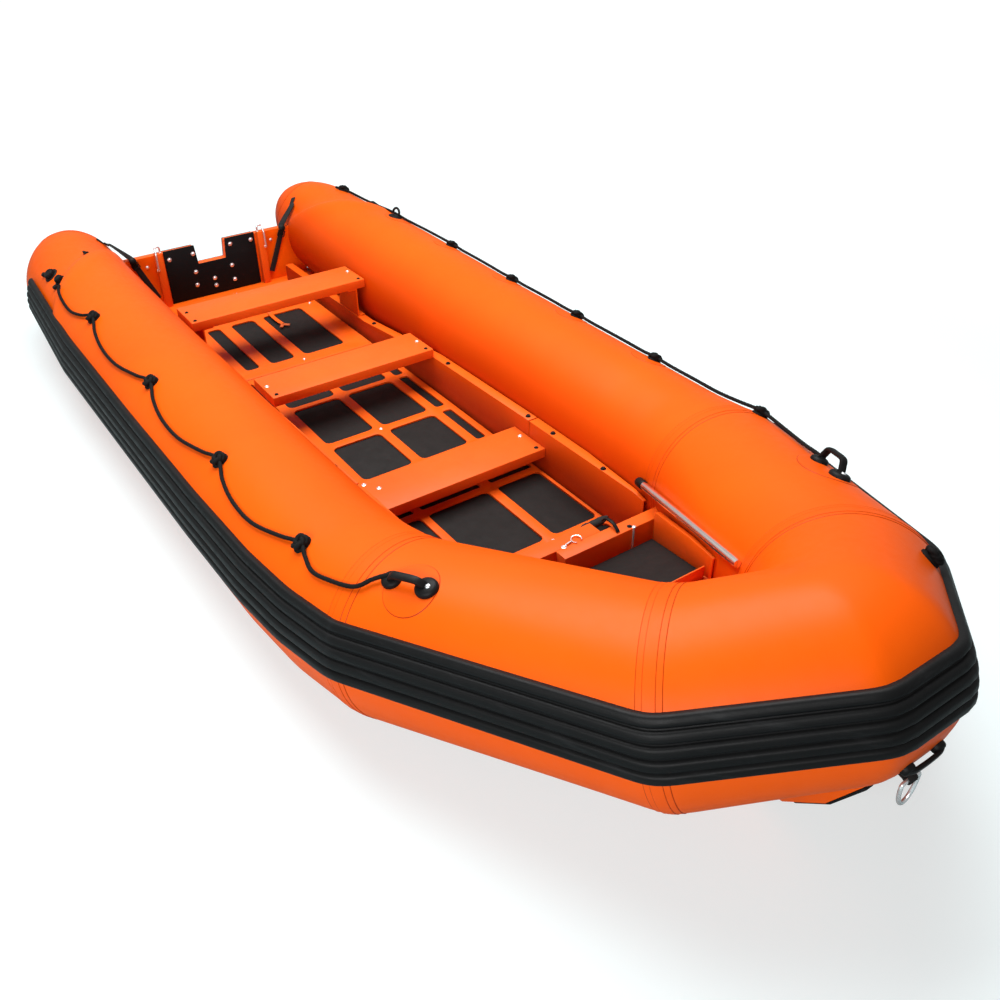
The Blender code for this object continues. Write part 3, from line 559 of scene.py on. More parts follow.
def easedLine(angle, height, cuts, shift=0.0):
    # one line along the collar, rounded where the tube bends; shift moves every cut along it
    corners = np.array([mitrePoint(s, angle, height) for s in range(len(stations))])
    lengths = np.concatenate(([0.0], np.cumsum(np.linalg.norm(np.diff(corners, axis=0), axis=1))))
    marks = np.array([lengths[k] + (lengths[k + 1] - lengths[k]) * t for k, t in cuts]) + shift
    marks = np.clip(marks, 0, lengths[-1])
    reach = np.minimum(collar["ease"], np.minimum(marks, lengths[-1] - marks))
    total = np.zeros((len(marks), 3))
    taps = np.linspace(-1, 1, 15)
    weights = np.cos(taps * math.pi / 2) ** 2
    for tap, weight in zip(taps, weights / weights.sum()):
        at = marks + tap * reach
        total += weight * np.stack([np.interp(at, lengths, corners[:, i]) for i in range(3)], axis=1)
    return total


def skinPush(p, angle):
    # how far the real cloth stands off the plain tube: slow waves, the swell behind the stern cone, one wrinkle
    angle = angle if angle < 190 else angle - 360
    push = collar["slack"] * noise.noise(p * 2.6 + Vector((3, 1, 5)))
    swellAt = collar["swellAt"] - (angle - 49) * collar["swellSlant"]
    if -30 < angle and p.x < 0.9:
        behind = 0.5 - 0.5 * math.tanh((p.x - swellAt) / collar["swellWidth"])
        ahead = math.exp(-((p.x - swellAt - 0.05) / 0.09) ** 2)
        push += collar["swell"] * (0.70 * ahead - behind) * math.sin(math.radians((angle + 30) / 220 * 180))
    off = angle - collar["wrinkleTurn"]
    line = (p.x - collar["wrinkleAt"] + off * 0.006) / 0.014
    return push - collar["wrinkle"] * math.exp(-(off / 16) ** 2) * math.exp(-line ** 2)


def tubeFrame(x, side, angle):
    # skin point, outward normal, travel and the way round the tube, at a distance x from the transom
    half = stations[:len(stations) // 2]
    for (a, ra, ta), (b, rb, tb) in zip(half, half[1:]):
        if a.x <= x <= b.x:
            break
    t = (x - a.x) / (b.x - a.x)
    along = (b - a).normalized()
    normal = outOf(along, angle)
    point = a.lerp(b, t) + (ra + (rb - ra) * t) * normal
    point += normal * skinPush(point, angle)
    if side < 0:
        point.y, normal.y, along.y = -point.y, -normal.y, -along.y
    return point, normal, along, normal.cross(along).normalized()


def onTube(x, side, angle, height):
    point, normal = tubeFrame(x, side, angle)[:2]
    return point + normal * height


def buildChamber(node, first, last):
    cuts = ringCuts(first, last)
    lines = np.array([easedLine(a, 0.0, cuts) for a in roundTurns])
    rings = []
    for i, centre in enumerate(lines.mean(axis=0)):
        ring = []
        for a, line in zip(roundTurns, lines):
            p = Vector(line[i])
            out = (p - Vector(centre)).normalized()
            edge = min(i if first else 4, len(cuts) - 1 - i if last < lastStation else 4)
            ring.append(p + out * skinPush(p, a + stations[cuts[i][0]][2]) * min(1.0, edge / 4))
        rings.append(ring)
    if first == 0 or last == lastStation:
        tip = rings[0] if first == 0 else rings[-1]
        middle = sum(tip, Vector()) / len(tip)
        cap = [[middle + (p - middle) * f + Vector((-0.004 * (1 - f * f), 0, 0)) for p in tip] for f in (0.35, 0.72)]
        rings = cap + rings if first == 0 else rings + cap[::-1]
    bm = bmesh.new()
    skin(bm, rings)
    addPiece(camel(node), bm, "tube_fabric", [node], angle=50)


def bandRing(station, along, height):
    # a ring of points on the collar's skin, a little along from a station
    ring = [Vector(easedLine(a, height, [(station, 0.0)], along)[0]) for a in roundTurns]
    middle = sum(ring, Vector()) / len(ring)
    return [p + (p - middle).normalized() * skinPush(p, a + stations[station][2]) for p, a in zip(ring, roundTurns)]


def buildBand(name, station, widths, thick=0.0009):
    # glued tape over a seam, one layer per width, with a raised glue line along each edge, coloured dark as glue and as
    # painted shade of the tape's step
    bm = bmesh.new()
    for layer, half in enumerate(widths):
        rise = thick * (layer + 1)
        tape = [(-half, -0.001), (-half + 0.0004, rise), (-half * 0.5, rise), (0, rise), (half * 0.5, rise),
                (half - 0.0004, rise), (half, -0.001)]
        skin(bm, [bandRing(station, along, height) for along, height in tape], caps=False)
        # glue beads along both edges; their dark colour is glue and painted shade
        glue = [(half - 0.0014, rise * 0.5), (half - 0.0010, rise + 0.0003), (half + 0.0005, rise * 0.5),
                (half + 0.0012, -0.001)]
        for sign in (-1, 1):
            skin(bm, [bandRing(station, along * sign, height) for along, height in glue], caps=False, index=1)
    addPiece(name, bm, "tube_fabric", material="seamTape", angle=25, extra=("glueEdge",))


def buildStrip(name, cuts, centre, half, thick=0.0008):
    # glued tape along the tube
    bm = bmesh.new()
    sweep = [(-half, -0.0008), (-half * 0.9, thick), (0, thick), (half * 0.9, thick), (half, -0.0008)]
    lines = [easedLine(centre + a, h, cuts) for a, h in sweep]
    skin(bm, [[Vector(p) for p in ring] for ring in zip(*lines)], caps=False, around=False)
    addPiece(name, bm, "tube_fabric", material="seamTape", angle=25)


strake = {"from": 1.5, "to": 37.5, "ribs": 5, "top": 0.0165, "valley": 0.0080, "base": 0.0035, "freeEnd": 0.10,
          "rib": ((0.06, 0.0), (0.12, 0.45), (0.20, 0.82), (0.30, 0.97), (0.45, 1.0), (0.60, 1.0), (0.72, 0.95),
                  (0.82, 0.76), (0.90, 0.40), (0.96, 0.0))}


def buildStrake(node, first, last):
    # five rounded ribs on a thin rubber base, running down to the base at a free end
    span = strake["to"] - strake["from"]
    step, high = span / strake["ribs"], strake["top"] - strake["valley"]
    outer = [(strake["from"] - 0.25, 0.0006), (strake["from"], strake["base"])]
    for rib in range(strake["ribs"]):
        outer += [(strake["from"] + step * (rib + f), strake["valley"] + high * h) for f, h in strake["rib"]]
    outer += [(strake["to"], strake["base"]), (strake["to"] + 0.25, 0.0006)]
    inner = [(strake["to"] - span * k / 8, -0.0015) for k in range(9)]
    startsFree, endsFree, trim = first == coneCount, last == lastStation - coneCount, strake["freeEnd"]
    cuts = ringCuts(first, last)
    if startsFree:
        cuts = [(first, trim)] + [c for c in cuts if c[0] > first or c[1] > trim]
    if endsFree:
        cuts = [c for c in cuts if c[0] < last - 1 or c[1] < 1 - trim] + [(last - 1, 1 - trim)]
    lines = [easedLine(a, h, cuts) for a, h in outer + inner]
    bases = [easedLine(a, min(h, 0.0045), cuts) for a, h in outer + inner]
    rings = []
    for i in range(len(cuts)):
        fromEnd = min(i if startsFree else 3, len(cuts) - 1 - i if endsFree else 3, 3)
        keep = (0.05, 0.55, 0.85, 1.0)[fromEnd]
        rings.append([Vector(base[i]).lerp(Vector(line[i]), keep) for line, base in zip(lines, bases)])
    bm = bmesh.new()
    skin(bm, rings)
    addPiece(camel(node), bm, "strake_rubber", [node], angle=40)


chambers = (("collar_side_port", 0, portShoulder), ("collar_quarter_port", portShoulder, portQuarter),
            ("collar_bow", portQuarter, starQuarter), ("collar_quarter_starboard", starQuarter, starShoulder),
            ("collar_side_starboard", starShoulder, lastStation))
strakes = (("strake_port", coneCount, portShoulder), ("strake_bow", portShoulder, starShoulder),
           ("strake_starboard", starShoulder, lastStation - coneCount))
bands = (("shoulderSeamPort", portShoulder, (0.034, 0.016)), ("shoulderSeamStarboard", starShoulder, (0.034, 0.016)),
         ("quarterSeamPort", portQuarter, (0.030, 0.015)), ("quarterSeamStarboard", starQuarter, (0.030, 0.015)))
for build, pieces in ((buildChamber, chambers), (buildStrake, strakes), (buildBand, bands)):
    for piece in pieces:
        build(*piece)
print("collar and strakes built")


# Softened sheet metal and boards

for word in ("port", "starboard"):
    for part in ("stringer_aft", "stringer_mid", "stringer_bow", "thwart_bracket"):
        softenNode(f"{part}_{word}", "metal_paint", 0.0012)
    softenNode(f"transom_post_{word}", "metal_paint", 0.002)
for word in ("aft", "mid", "fore"):
    softenNode(f"thwart_{word}", "metal_paint", 0.0016)
    softenNode(f"floor_grid_{word}", "metal_paint", 0.0012)
    softenNode(f"mat_{word}", "floor_mat", 0.0025)
for node, slotName, edge in (
        ("crossbeam_aft", "metal_paint", 0.0014), ("crossbeam_fore", "metal_paint", 0.0014),
        ("transom_board", "hull_paint", 0.0025), ("motor_plate_inner", "motor_plate", 0.0016),
        ("motor_plate_outer", "motor_plate", 0.0016), ("keel_guard", "strake_rubber", 0.0015),
        ("bow_mat", "floor_mat", 0.003)):
    softenNode(node, slotName, edge)
print("sheet metal and boards softened")


# Lifelines

ropes = {"radius": 0.006, "clipAngle": 62.0, "starboard": (0.846, 1.505, 2.124, 2.669),
         "port": (1.020, 1.500, 1.945, 2.400, 2.925), "lift": 0.0095, "inside": 0.013}


def swagRoute(clips, sag):
    # distance, angle and height along a rope that hangs a little between its clips
    route = []
    for a, b in zip(clips, clips[1:]):
        route.append((a, ropes["clipAngle"], ropes["inside"]))
        for t in (0.16, 0.36, 0.60, 0.84):
            dip = math.sin(math.pi * min(1.0, t * 1.06)) ** 0.8
            route.append((a + (b - a) * t, ropes["clipAngle"] - sag * dip, ropes["lift"]))
    return route + [(clips[-1], ropes["clipAngle"], ropes["inside"])]


def buildLifeline(node, side, route):
    points = easeRoute([onTube(x, side, angle, height) for x, angle, height in route], 6)
    points = evenRoute(points, 0.006)
    bm = bmesh.new()
    addPipe(bm, points, ropes["radius"], 14, lobes=3, pitch=0.045)
    item = addPiece(camel(node), bm, "webbing", [node], material="rope", angle=60)


up = ropes["lift"]
buildLifeline("lifeline_starboard", -1, [
    (0.43, 55.0, up), (0.46, 51.5, up), (0.54, 49.0, up), (0.66, 49.5, up), (0.765, 55.5, up),
    *swagRoute(ropes["starboard"], 12.5),
    (2.715, 58.0, up), (2.79, 53.0, up), (2.86, 53.5, up), (2.925, 59.5, up), (2.968, 66.0, up + 0.003),
    (3.000, 70.0, up + 0.005), (3.022, 70.5, up + 0.004)])
buildLifeline("lifeline_port", 1, [
    (0.0, 76.0, up), (0.06, 66.0, up), (0.25, 60.0, up), (0.50, 64.5, up), (0.62, 64.0, up), (0.80, 59.5, up),
    *swagRoute(ropes["port"], 3.5),
    (3.05, 59.0, up), (3.19, 62.0, up), (3.265, 63.0, up + 0.003), (3.300, 65.0, up)])
print("lifelines run")


# Hull below the collar

# each section: x, keel z, chine y, chine z, deck y, deck z; each rail: y and where it stops
hull = {"landing": 0.020, "sections": (
    (-0.046, 0.0, 0.47, 0.050, 0.57, 0.085), (0.75, 0.0, 0.47, 0.050, 0.53, 0.085),
    (1.50, 0.0, 0.47, 0.050, 0.52, 0.085), (2.40, 0.0, 0.46, 0.056, 0.52, 0.085),
    (2.85, 0.0, 0.42, 0.080, 0.50, 0.085), (2.96, 0.0, 0.40, 0.100, 0.46, 0.150),
    (3.30, 0.003, 0.31, 0.180, 0.36, 0.250), (3.60, 0.016, 0.20, 0.260, 0.25, 0.340),
    (3.79, 0.060, 0.11, 0.330, 0.15, 0.410), (3.90, 0.170, 0.05, 0.370, 0.08, 0.450),
    (3.98, 0.310, 0.025, 0.400, 0.045, 0.480)), "rails": ((0.17, 2.75), (0.32, 2.55)),
    "seams": (("hullSeamTape", 229.0, 6.0), ("undersideSeam", 288.0, 3.0))}


def hullRow(x):
    # keel z, half the flat landing, chine y, chine z, deck y and deck z at a distance x
    rows = np.array(hull["sections"])
    keel, chineY, chineZ, deckY, deckZ = [float(np.interp(x, rows[:, 0], rows[:, k])) for k in range(1, 6)]
    return keel, min(hull["landing"], chineY * 0.4), chineY, chineZ, deckY, deckZ


def bottomPoint(x, y, side, lift):
    keel, pad, chineY, chineZ = hullRow(x)[:4]
    return Vector((x, side * y, keel + (chineZ - keel) * max(0.0, abs(y) - pad) / (chineY - pad) + lift))


def buildHull():
    marks = {row[0] for row in hull["sections"]} | {-0.040, 3.85, 3.94} | {round(0.12 * k, 3) for k in range(1, 33)}
    rings = []
    for x in sorted(marks):
        keel, pad, chineY, chineZ, deckY, deckZ = hullRow(x)
        half = [(0, keel), (pad * 0.9, keel), (pad * 1.25, keel + (chineZ - keel) * 0.012)]
        half += [(pad + (chineY - pad) * f, keel + (chineZ - keel) * f) for f in (0.25, 0.5, 0.75, 0.975)]
        half += [(chineY + 0.001, chineZ + 0.001)]
        half += [(chineY + (deckY - chineY) * f, chineZ + (deckZ - chineZ) * g)
                 for f, g in ((0.04, 0.06), (0.5, 0.5), (0.97, 0.97))]
        half += [(deckY - 0.004, deckZ), (deckY * 0.6, deckZ), (deckY * 0.3, deckZ)]
        ring = [Vector((x, y, z)) for y, z in half] + [Vector((x, 0, deckZ))]
        rings.append(ring + [Vector((x, -y, z)) for y, z in reversed(half[1:])])
    bm = bmesh.new()
    skin(bm, rings)
    for y, stop in hull["rails"]:
        for side in (1, -1):
            rows = []
            for k in range(41):
                x = 0.02 + (stop - 0.02) * k / 40
                high = 0.010 * min(1.0, (40 - k) / 5 + 0.1)
                under = bottomPoint(x, y, side, -high)
                rows.append([bottomPoint(x, y - 0.016, side, 0.002), under + Vector((0, side * 0.006, 0.002)),
                             under + Vector((0, side * 0.009, 0.003)), bottomPoint(x, y + 0.010, side, 0.002)])
            skin(bm, rows)
    addPiece("hull", bm, "hull_paint", ["hull"], angle=24)


buildHull()
for word, first, last in (("Port", coneCount, portQuarter), ("Starboard", starQuarter, lastStation - coneCount)):
    for name, centre, half in hull["seams"]:
        buildStrip(name + word, ringCuts(first, last), centre, half)
coneSeam = coneSteps.index(0.67)
for word, station in (("Port", coneSeam), ("Starboard", lastStation - coneSeam)):
    buildBand("coneSeam" + word, station, (0.007,))
print("hull built")


# Glued patches that carry the fittings

def buildPatch(name, x, side, angle, reach, wide, thick=0.0011):
    # thin oval of cloth lying on the tube: reach along it, wide round it
    slope = abs(tubeFrame(x, side, angle)[2].x)
    rows = []
    for f, height in ((0.0, thick), (0.3, thick), (0.6, thick), (0.85, thick), (0.97, thick * 0.9), (1.0, -0.0006)):
        row = []
        for a in (2 * math.pi * k / 36 for k in range(36)):
            turn = math.degrees(wide * f * math.sin(a) / tubeRadius)
            row.append(onTube(x + reach * f * math.cos(a) * slope, side, angle + turn, height))
        rows.append(row)
    bm = bmesh.new()
    verts = skin(bm, rows[1:-1], caps=False)[0]
    # the rim takes the dark edge colour: glue and painted shade along the patch's edge
    skin(bm, rows[-2:], caps=False, index=1)
    middle = bm.verts.new(rows[0][0])
    for a, b in zip(verts, verts[1:] + verts[:1]):
        bm.faces.new((a, b, middle))
    bmesh.ops.remove_doubles(bm, verts=bm.verts, dist=0.00001)
    addPiece(name, bm, "tube_fabric", material="seamTape", angle=30, extra=("glueEdge",))


# Clips: a moulded base with the rope knotted through it

# each knot's loop: turn, lift, reach and width
clips = {"base": ((0.022, -0.003), (0.022, 0.003), (0.0195, 0.0055), (0.013, 0.0075), (0.011, 0.012), (0.005, 0.0135)),
         "stretch": 24 / 19, "rope": 0.0074,
         "loops": ((62, 0.013, 0.021, 0.0110), (118, 0.0165, 0.0190, 0.0100), (5, 0.0155, 0.014, 0.009))}


def buildClip(name, x, side, angle):
    point, normal, along, across = tubeFrame(x, side, angle)
    bm = bmesh.new()
    addLathe(bm, clips["base"], point, normal, across, 24, stretch=clips["stretch"])
    for turn, lift, reach, wide in clips["loops"]:
        a = math.radians(turn)
        long = math.cos(a) * along + math.sin(a) * across
        short = normal.cross(long)
        route = []
        for t in (2 * math.pi * k / 22 for k in range(22)):
            high = lift + 0.0035 * math.sin(2 * t)
            route.append(point + long * reach * math.cos(t) + short * wide * math.sin(t) + normal * high)
        addPipe(bm, route, clips["rope"], 10, closed=True, lobes=3, pitch=0.03)
    addPiece(name, bm, "webbing", material="rope", angle=50)


for side, word in ((-1, "starboard"), (1, "port")):
    for i, x in enumerate(ropes[word]):
        buildClip(f"clip{word.title()}{i + 1}", x, side, ropes["clipAngle"])
        if side > 0 and i < 4:
            buildPatch(f"clipPatch{word.title()}{i + 1}", x - 0.01, side, 66.0, 0.075, 0.060)
buildClip("clipPortBow", 3.69, 1, 50.0)
buildClip("clipPortStern", 0.030, 1, 66.0)
print("clips tied")


# Handles, valves and stern fittings

grips = {"bar": 0.022, "thick": 0.0135, "pad": 0.0255,
         "padShape": ((1, -0.004), (1, 0.004), (0.94, 0.0095), (0.74, 0.0135), (0.3, 0.0145)),
         "rivet": ((0.0072, 0.010), (0.0072, 0.0150), (0.0052, 0.0175), (0.0020, 0.0182))}


def buildGrip(node, x, side, angle, half, rise, corner):
    # moulded bar arched between two pads, the fore one larger and riveted
    point, normal, along, across = tubeFrame(x, side, angle)
    fore = [(corner, 0.012 + rise * 0.97), (0.90, 0.012 + rise * 0.45), (1.05, 0.010), (1.22, 0.003)]
    shape = [(-u, h) for u, h in reversed(fore)] + [(0, 0.013 + rise)] + fore
    route = easeRoute([point + along * half * u + normal * h for u, h in shape], 5)
    faces = [(p - point - along * (p - point).dot(along) * 0.6 + normal * 0.02).normalized() for p in route]
    bm = bmesh.new()
    addStrap(bm, route, faces, grips["bar"], grips["thick"])
    for sign, size in ((-1, grips["pad"]), (1, grips["pad"] * 1.16)):
        pad = [(size * f, h) for f, h in grips["padShape"]]
        addLathe(bm, pad, point + along * half * sign * 1.04, normal, along, 28, stretch=1.10)
        foot = point + along * half * sign * 0.90 + normal * 0.012
        addPipe(bm, [foot - across * 0.007, foot + across * 0.007], 0.0075, 12)
    addLathe(bm, grips["rivet"], point + along * half * 1.22, normal, along, 18, index=1)
    addPiece(camel(node), bm, "black_plastic", [node], angle=40, extra=("steel",))


buildGrip("handle_starboard", 3.058, -1, 69.0, 0.052, 0.019, 0.62)
buildGrip("handle_port", 3.355, 1, 66.0, 0.055, 0.034, 0.66)
buildPatch("handlePatchStarboard", 3.066, -1, 67.0, 0.078, 0.078)
buildPatch("handlePatchPort", 3.355, 1, 66.0, 0.105, 0.085)


def buildLoop():
    # small lead ring beside the port tube's stern
    point, normal, along = tubeFrame(0.560, 1, 70.0)[:3]
    bm = bmesh.new()
    addPipe(bm, arcPoints(point + normal * 0.022, along * 0.026, normal * 0.021, np.linspace(200, -20, 25)), 0.0056, 14)
    base = [(0.031, -0.004), (0.031, 0.002), (0.028, 0.005), (0.020, 0.009), (0.008, 0.012)]
    addLathe(bm, base, point, normal, along, 28, stretch=1.15)
    addPiece("sternLoop", bm, "black_plastic", ["loop_port_stern"], angle=45)


buildLoop()
buildPatch("loopPatch", 0.575, 1, 68.0, 0.085, 0.060)

valves = {"flange": ((0.029, -0.004), (0.029, 0.0015), (0.027, 0.004), (0.0215, 0.005)),
          "cap": ((0.0200, 0.004), (0.0205, 0.006), (0.0200, 0.0165), (0.0180, 0.0205), (0.0120, 0.0215),
                  (0.0105, 0.0195), (0.0050, 0.0195)),
          "tether": ((0.022, 0.004), (0.032, 0.008), (0.043, 0.007)),
          "plug": ((0.0105, 0.001), (0.0110, 0.007), (0.0090, 0.0115), (0.0030, 0.0125))}


def buildValve(node, x, side, angle, size, turn):
    # screw cap on a flange, with a short tether and its plug
    point, normal, along, across = tubeFrame(x, side, angle)
    bm = bmesh.new()
    for profile in (valves["flange"], valves["cap"]):
        addLathe(bm, [(r * size, h) for r, h in profile], point, normal, along, 32)
    for spoke in arcPoints(point, along * 0.0204 * size, across * 0.0204 * size, [360 * k / 14 for k in range(14)]):
        addPipe(bm, [spoke + normal * 0.0065, spoke + normal * 0.0165], 0.0017, 6)
    away = arcPoints(Vector(), along, across * side, [turn])[0]
    tether = easeRoute([point + away * d * size + normal * h for d, h in valves["tether"]], 4)
    addStrap(bm, tether, normal, 0.008, 0.0032)
    addLathe(bm, valves["plug"], point + away * 0.048 * size, normal, along, 20)
    addPiece(camel(node), bm, "black_plastic", [node], angle=38)


for side, word, aft, fore in ((1, "port", 46.0, 47.0), (-1, "starboard", 51.5, 57.0)):
    buildValve(f"valve_aft_{word}", 0.225, side, aft, 1.15, 155)
    buildValve(f"valve_fore_{word}", 0.338, side, fore, 0.86, 55)


def buildSternTee():
    # small black cross-shaped fitting on the starboard cone
    point, normal, along, across = tubeFrame(0.205, -1, 96.0)
    point += normal * 0.005
    bm = bmesh.new()
    addStrap(bm, [point + along * d + normal * 0.004 for d in (-0.020, 0.022)], normal, 0.011, 0.008)
    addStrap(bm, [point + across * d + normal * 0.006 for d in (0, 0.016)], normal, 0.010, 0.008)
    addLathe(bm, [(0.008, 0.004), (0.008, 0.010), (0.005, 0.012), (0.002, 0.0125)], point, normal, along, 16)
    addPiece("sternTee", bm, "black_plastic", angle=40)


buildSternTee()
print("handles and valves built")


# Transom fittings

transom = {"front": -0.006, "top": 0.345, "postY": 0.262, "plateTop": 0.355, "strap": 0.028,
           "bolts": ((-0.210, 0.310), (-0.091, 0.314), (0.103, 0.322), (0.212, 0.321), (-0.093, 0.221), (0.095, 0.213),
                     (-0.098, 0.154), (-0.004, 0.168), (-0.003, 0.130), (0.098, 0.138)),
           "postBolt": (0.320, 0.295), "drain": (0.37, 0.125),
           "flange": ((0.024, -0.001), (0.024, 0.003), (0.021, 0.005), (0.013, 0.005), (0.012, 0.012), (0.008, 0.013)),
           "roller": ((0.015, -0.004), (0.017, 0.003), (0.015, 0.010), (0.008, 0.014), (0.003, 0.0148))}


def buildTransomBolts():
    bm = bmesh.new()
    for y, z in transom["bolts"]:
        addBolt(bm, (0.0002, y, z), (1, 0, 0), 1.25)
        addBolt(bm, (-0.0482, y, z), (-1, 0, 0), 1.15, "nut")
    y, z = transom["postBolt"]
    for side in (1, -1):
        addBolt(bm, (-0.0058, y * side, z), (1, 0, 0), 1.0)
        addBolt(bm, (-0.0402, y * side, z), (-1, 0, 0), 1.0, "nut")
    addPiece("transomBolts", bm, "steel", angle=35)


def buildLiftingEye(side, node):
    # U-bolt on the top of the post, its outer leg bolted to the post's face
    bm = bmesh.new()
    top, x, face = transom["plateTop"] + 0.0043, transom["front"] + 0.015, transom["front"] + 0.030
    inner, outer = transom["postY"] - 0.012, transom["postY"] + 0.012
    bend = arcPoints(Vector((x, transom["postY"], top + 0.018)), Vector((0, -0.012, 0)), Vector((0, 0, 0.012)),
                     range(15, 180, 15))
    route = [(x, inner, top - 0.008), (x, inner, top + 0.018), *bend, (x + 0.004, outer, top + 0.017),
             (x + 0.014, outer + 0.001, top + 0.010), (face + 0.005, outer + 0.002, top - 0.004),
             (face + 0.0055, outer + 0.003, top - 0.030), (face + 0.0055, outer + 0.004, top - 0.078)]
    addPipe(bm, [Vector((px, py * side, pz)) for px, py, pz in route], 0.0046, 16)
    addBolt(bm, (x, inner * side, top), (0, 0, 1), 0.85, "nut")
    addBolt(bm, (face, (outer + 0.004) * side, top - 0.080), (1, 0, 0), 0.95, "nut")
    addPiece(camel(node), bm, "steel", [node], angle=35)


def buildTransomStrap(side, word):
    # webbing from the tube's inner shoulder over the board's rim to the foot of the post
    ahead, front = Vector((1, 0, 0)), transom["front"] + 0.010
    foot, rim = Vector((front, 0.300 * side, 0.1336)), Vector((front, 0.385 * side, transom["top"] - 0.005))
    anchor = onTube(-0.12, side, 142, 0.004)
    route = [foot, foot.lerp(rim, 0.35), foot.lerp(rim, 0.7), rim, rim + Vector((-0.012, 0.004 * side, 0.016)),
             anchor + Vector((0.03, -0.012 * side, 0.004)), anchor, onTube(-0.15, side, 132, 0.004)]
    faces = [ahead] * 4 + [Vector((0.6, 0, 0.8)), Vector((0.1, -0.4 * side, 0.9))]
    faces += [Vector((0, -math.cos(math.radians(a)) * side, math.sin(math.radians(a)))) for a in (38, 48)]
    bm = bmesh.new()
    addStrap(bm, easeRoute(route, 5), [f.normalized() for f in easeRoute(faces, 5)], transom["strap"], 0.0042)
    addPiece("transomStrap" + word.title(), bm, "webbing", ["transom_strap_" + word], angle=40)
    bm = bmesh.new()
    middle, up = foot.lerp(rim, 0.90) + Vector((0.004, 0, 0)), (rim - foot).normalized()
    wide = up.cross(ahead)
    for d in (-0.014, 0.0, 0.014):
        addPipe(bm, [middle + up * d - wide * 0.017, middle + up * d + wide * 0.017], 0.0024, 10)
    for d in (-0.017, 0.017):
        addPipe(bm, [middle - up * 0.014 + wide * d, middle + up * 0.014 + wide * d], 0.0024, 10)
    addLathe(bm, transom["roller"], rim + Vector((0.002, 0, 0.006)), Vector((1, 0, 0.5)).normalized(), wide, 20)
    addPiece("strapBuckle" + word.title(), bm, "black_plastic", angle=40)


def buildDrains():
    bm = bmesh.new()
    y, z = transom["drain"]
    for side in (1, -1):
        addLathe(bm, transom["flange"], Vector((-0.0402, y * side, z)), Vector((-1, 0, 0)), Vector((0, 1, 0)), 28)
    addPiece("transomDrains", bm, "black_plastic", angle=38)


buildTransomBolts()
for side, word in ((1, "port"), (-1, "starboard")):
    buildLiftingEye(side, "lifting_eye_" + word)
    buildTransomStrap(side, word)
buildDrains()
print("transom fitted out")


# Fasteners and small hardware in the cockpit

hardware = {"bright": ((1.433, 0.335, 0.288), (2.185, 0.322, 0.208), (2.182, -0.267, 0.208), (2.135, -0.300, 0.208),
                       (2.895, -0.028, 0.300), (1.433, -0.335, 0.288), (0.730, 0.385, 0.350)),
            "dark": ((0.735, -0.385, 0.350), (0.835, 0.385, 0.350), (0.835, -0.385, 0.350), (1.512, 0.330, 0.288),
                     (1.512, -0.330, 0.288), (2.285, 0.322, 0.208), (2.236, -0.312, 0.208), (2.930, 0.198, 0.300)),
            "flange": ((2.175, 0.366), (2.330, 0.362), (1.62, 0.368), (0.98, 0.372), (2.62, 0.352), (2.56, -0.353),
                       (1.62, -0.368), (2.06, -0.366)),
            "screws": ((0.130, 0.05), (0.98, 0.015), (0.445, 0.30), (1.36, -0.30), (1.70, 0.0), (2.27, -0.29),
                       (2.66, 0.118)),
            "screwZ": 0.1137, "ringPin": (2.889, 0.023, 0.3045), "hinge": (2.9475, 0.200, 0.3085),
            "hook": ((2.860, 0.150, 0.302), (2.875, 0.152, 0.316), (2.905, 0.152, 0.318), (2.925, 0.150, 0.309),
                     (2.934, 0.149, 0.302)),
            "lump": [0.006, 0.012, 0.015, 0.013, 0.016, 0.014, 0.015, 0.011, 0.005], "plateX": 3.290,
            "pole": ((2.795, 0.354, 0.3275), (3.430, 0.1055, 0.5262)),
            "poleCap": ((-0.014, 0.008), (-0.012, 0.0125), (-0.006, 0.0150), (0.0, 0.0155), (0.048, 0.0155),
                        (0.052, 0.0150), (0.055, 0.0130)),
            "ringShaft": ((2.889, 0.004, 0.3035), (2.893, -0.020, 0.3035)),
            "stringerTop": ((0.06, 0.172), (0.65, 0.178), (0.92, 0.178), (1.53, 0.250), (2.20, 0.272), (2.50, 0.280),
                            (2.78, 0.290))}
upward = Vector((0, 0, 1))


def buildBolts(name, slotName, places, size):
    bm = bmesh.new()
    for place in places:
        addBolt(bm, place, upward, size)
    addPiece(name, bm, slotName, angle=35)


def buildCockpitBolts():
    buildBolts("cockpitBolts", "steel", hardware["bright"], 0.95)
    bm = bmesh.new()
    for place in hardware["dark"]:
        addBolt(bm, place, upward, 0.95)
    for x, y in hardware["flange"]:
        addBolt(bm, (x, y, float(np.interp(x, *zip(*hardware["stringerTop"])))), upward, 1.2, "nut")
    addPiece("cockpitDarkBolts", bm, "black_plastic", angle=35)


def buildBeamHardware():
    # split ring pin, latch hook and hinge pin on the bow crossbeam
    bm = bmesh.new()
    hinge = Vector(hardware["hinge"])
    ring = arcPoints(Vector(hardware["ringPin"]), Vector((0.016, 0, 0)), Vector((0, 0.016, 0.002)),
                     np.linspace(40, 330, 19))
    addPipe(bm, ring, 0.0016, 8)
    addPipe(bm, [Vector(p) for p in hardware["ringShaft"]], 0.0028, 10)
    addPipe(bm, [hinge, hinge - upward * 0.1185], 0.0040, 12)
    addBolt(bm, hinge, upward, 0.7)
    addPiece("beamPins", bm, "steel", angle=40)
    bm = bmesh.new()
    addStrap(bm, easeRoute(hardware["hook"], 5), upward, 0.012, 0.006)
    addPiece("beamHook", bm, "black_plastic", angle=40)
    bm = bmesh.new()
    lump = [Vector((2.838 - 0.006 * math.sin(3 * t), 0.085 + 0.105 * t, 0.286 - 0.012 * math.sin(math.pi * t)))
            for t in (k / 8 for k in range(9))]
    addPipe(bm, lump, hardware["lump"], 16, flat=0.8)
    addPiece("beamStrap", bm, "webbing", angle=60)


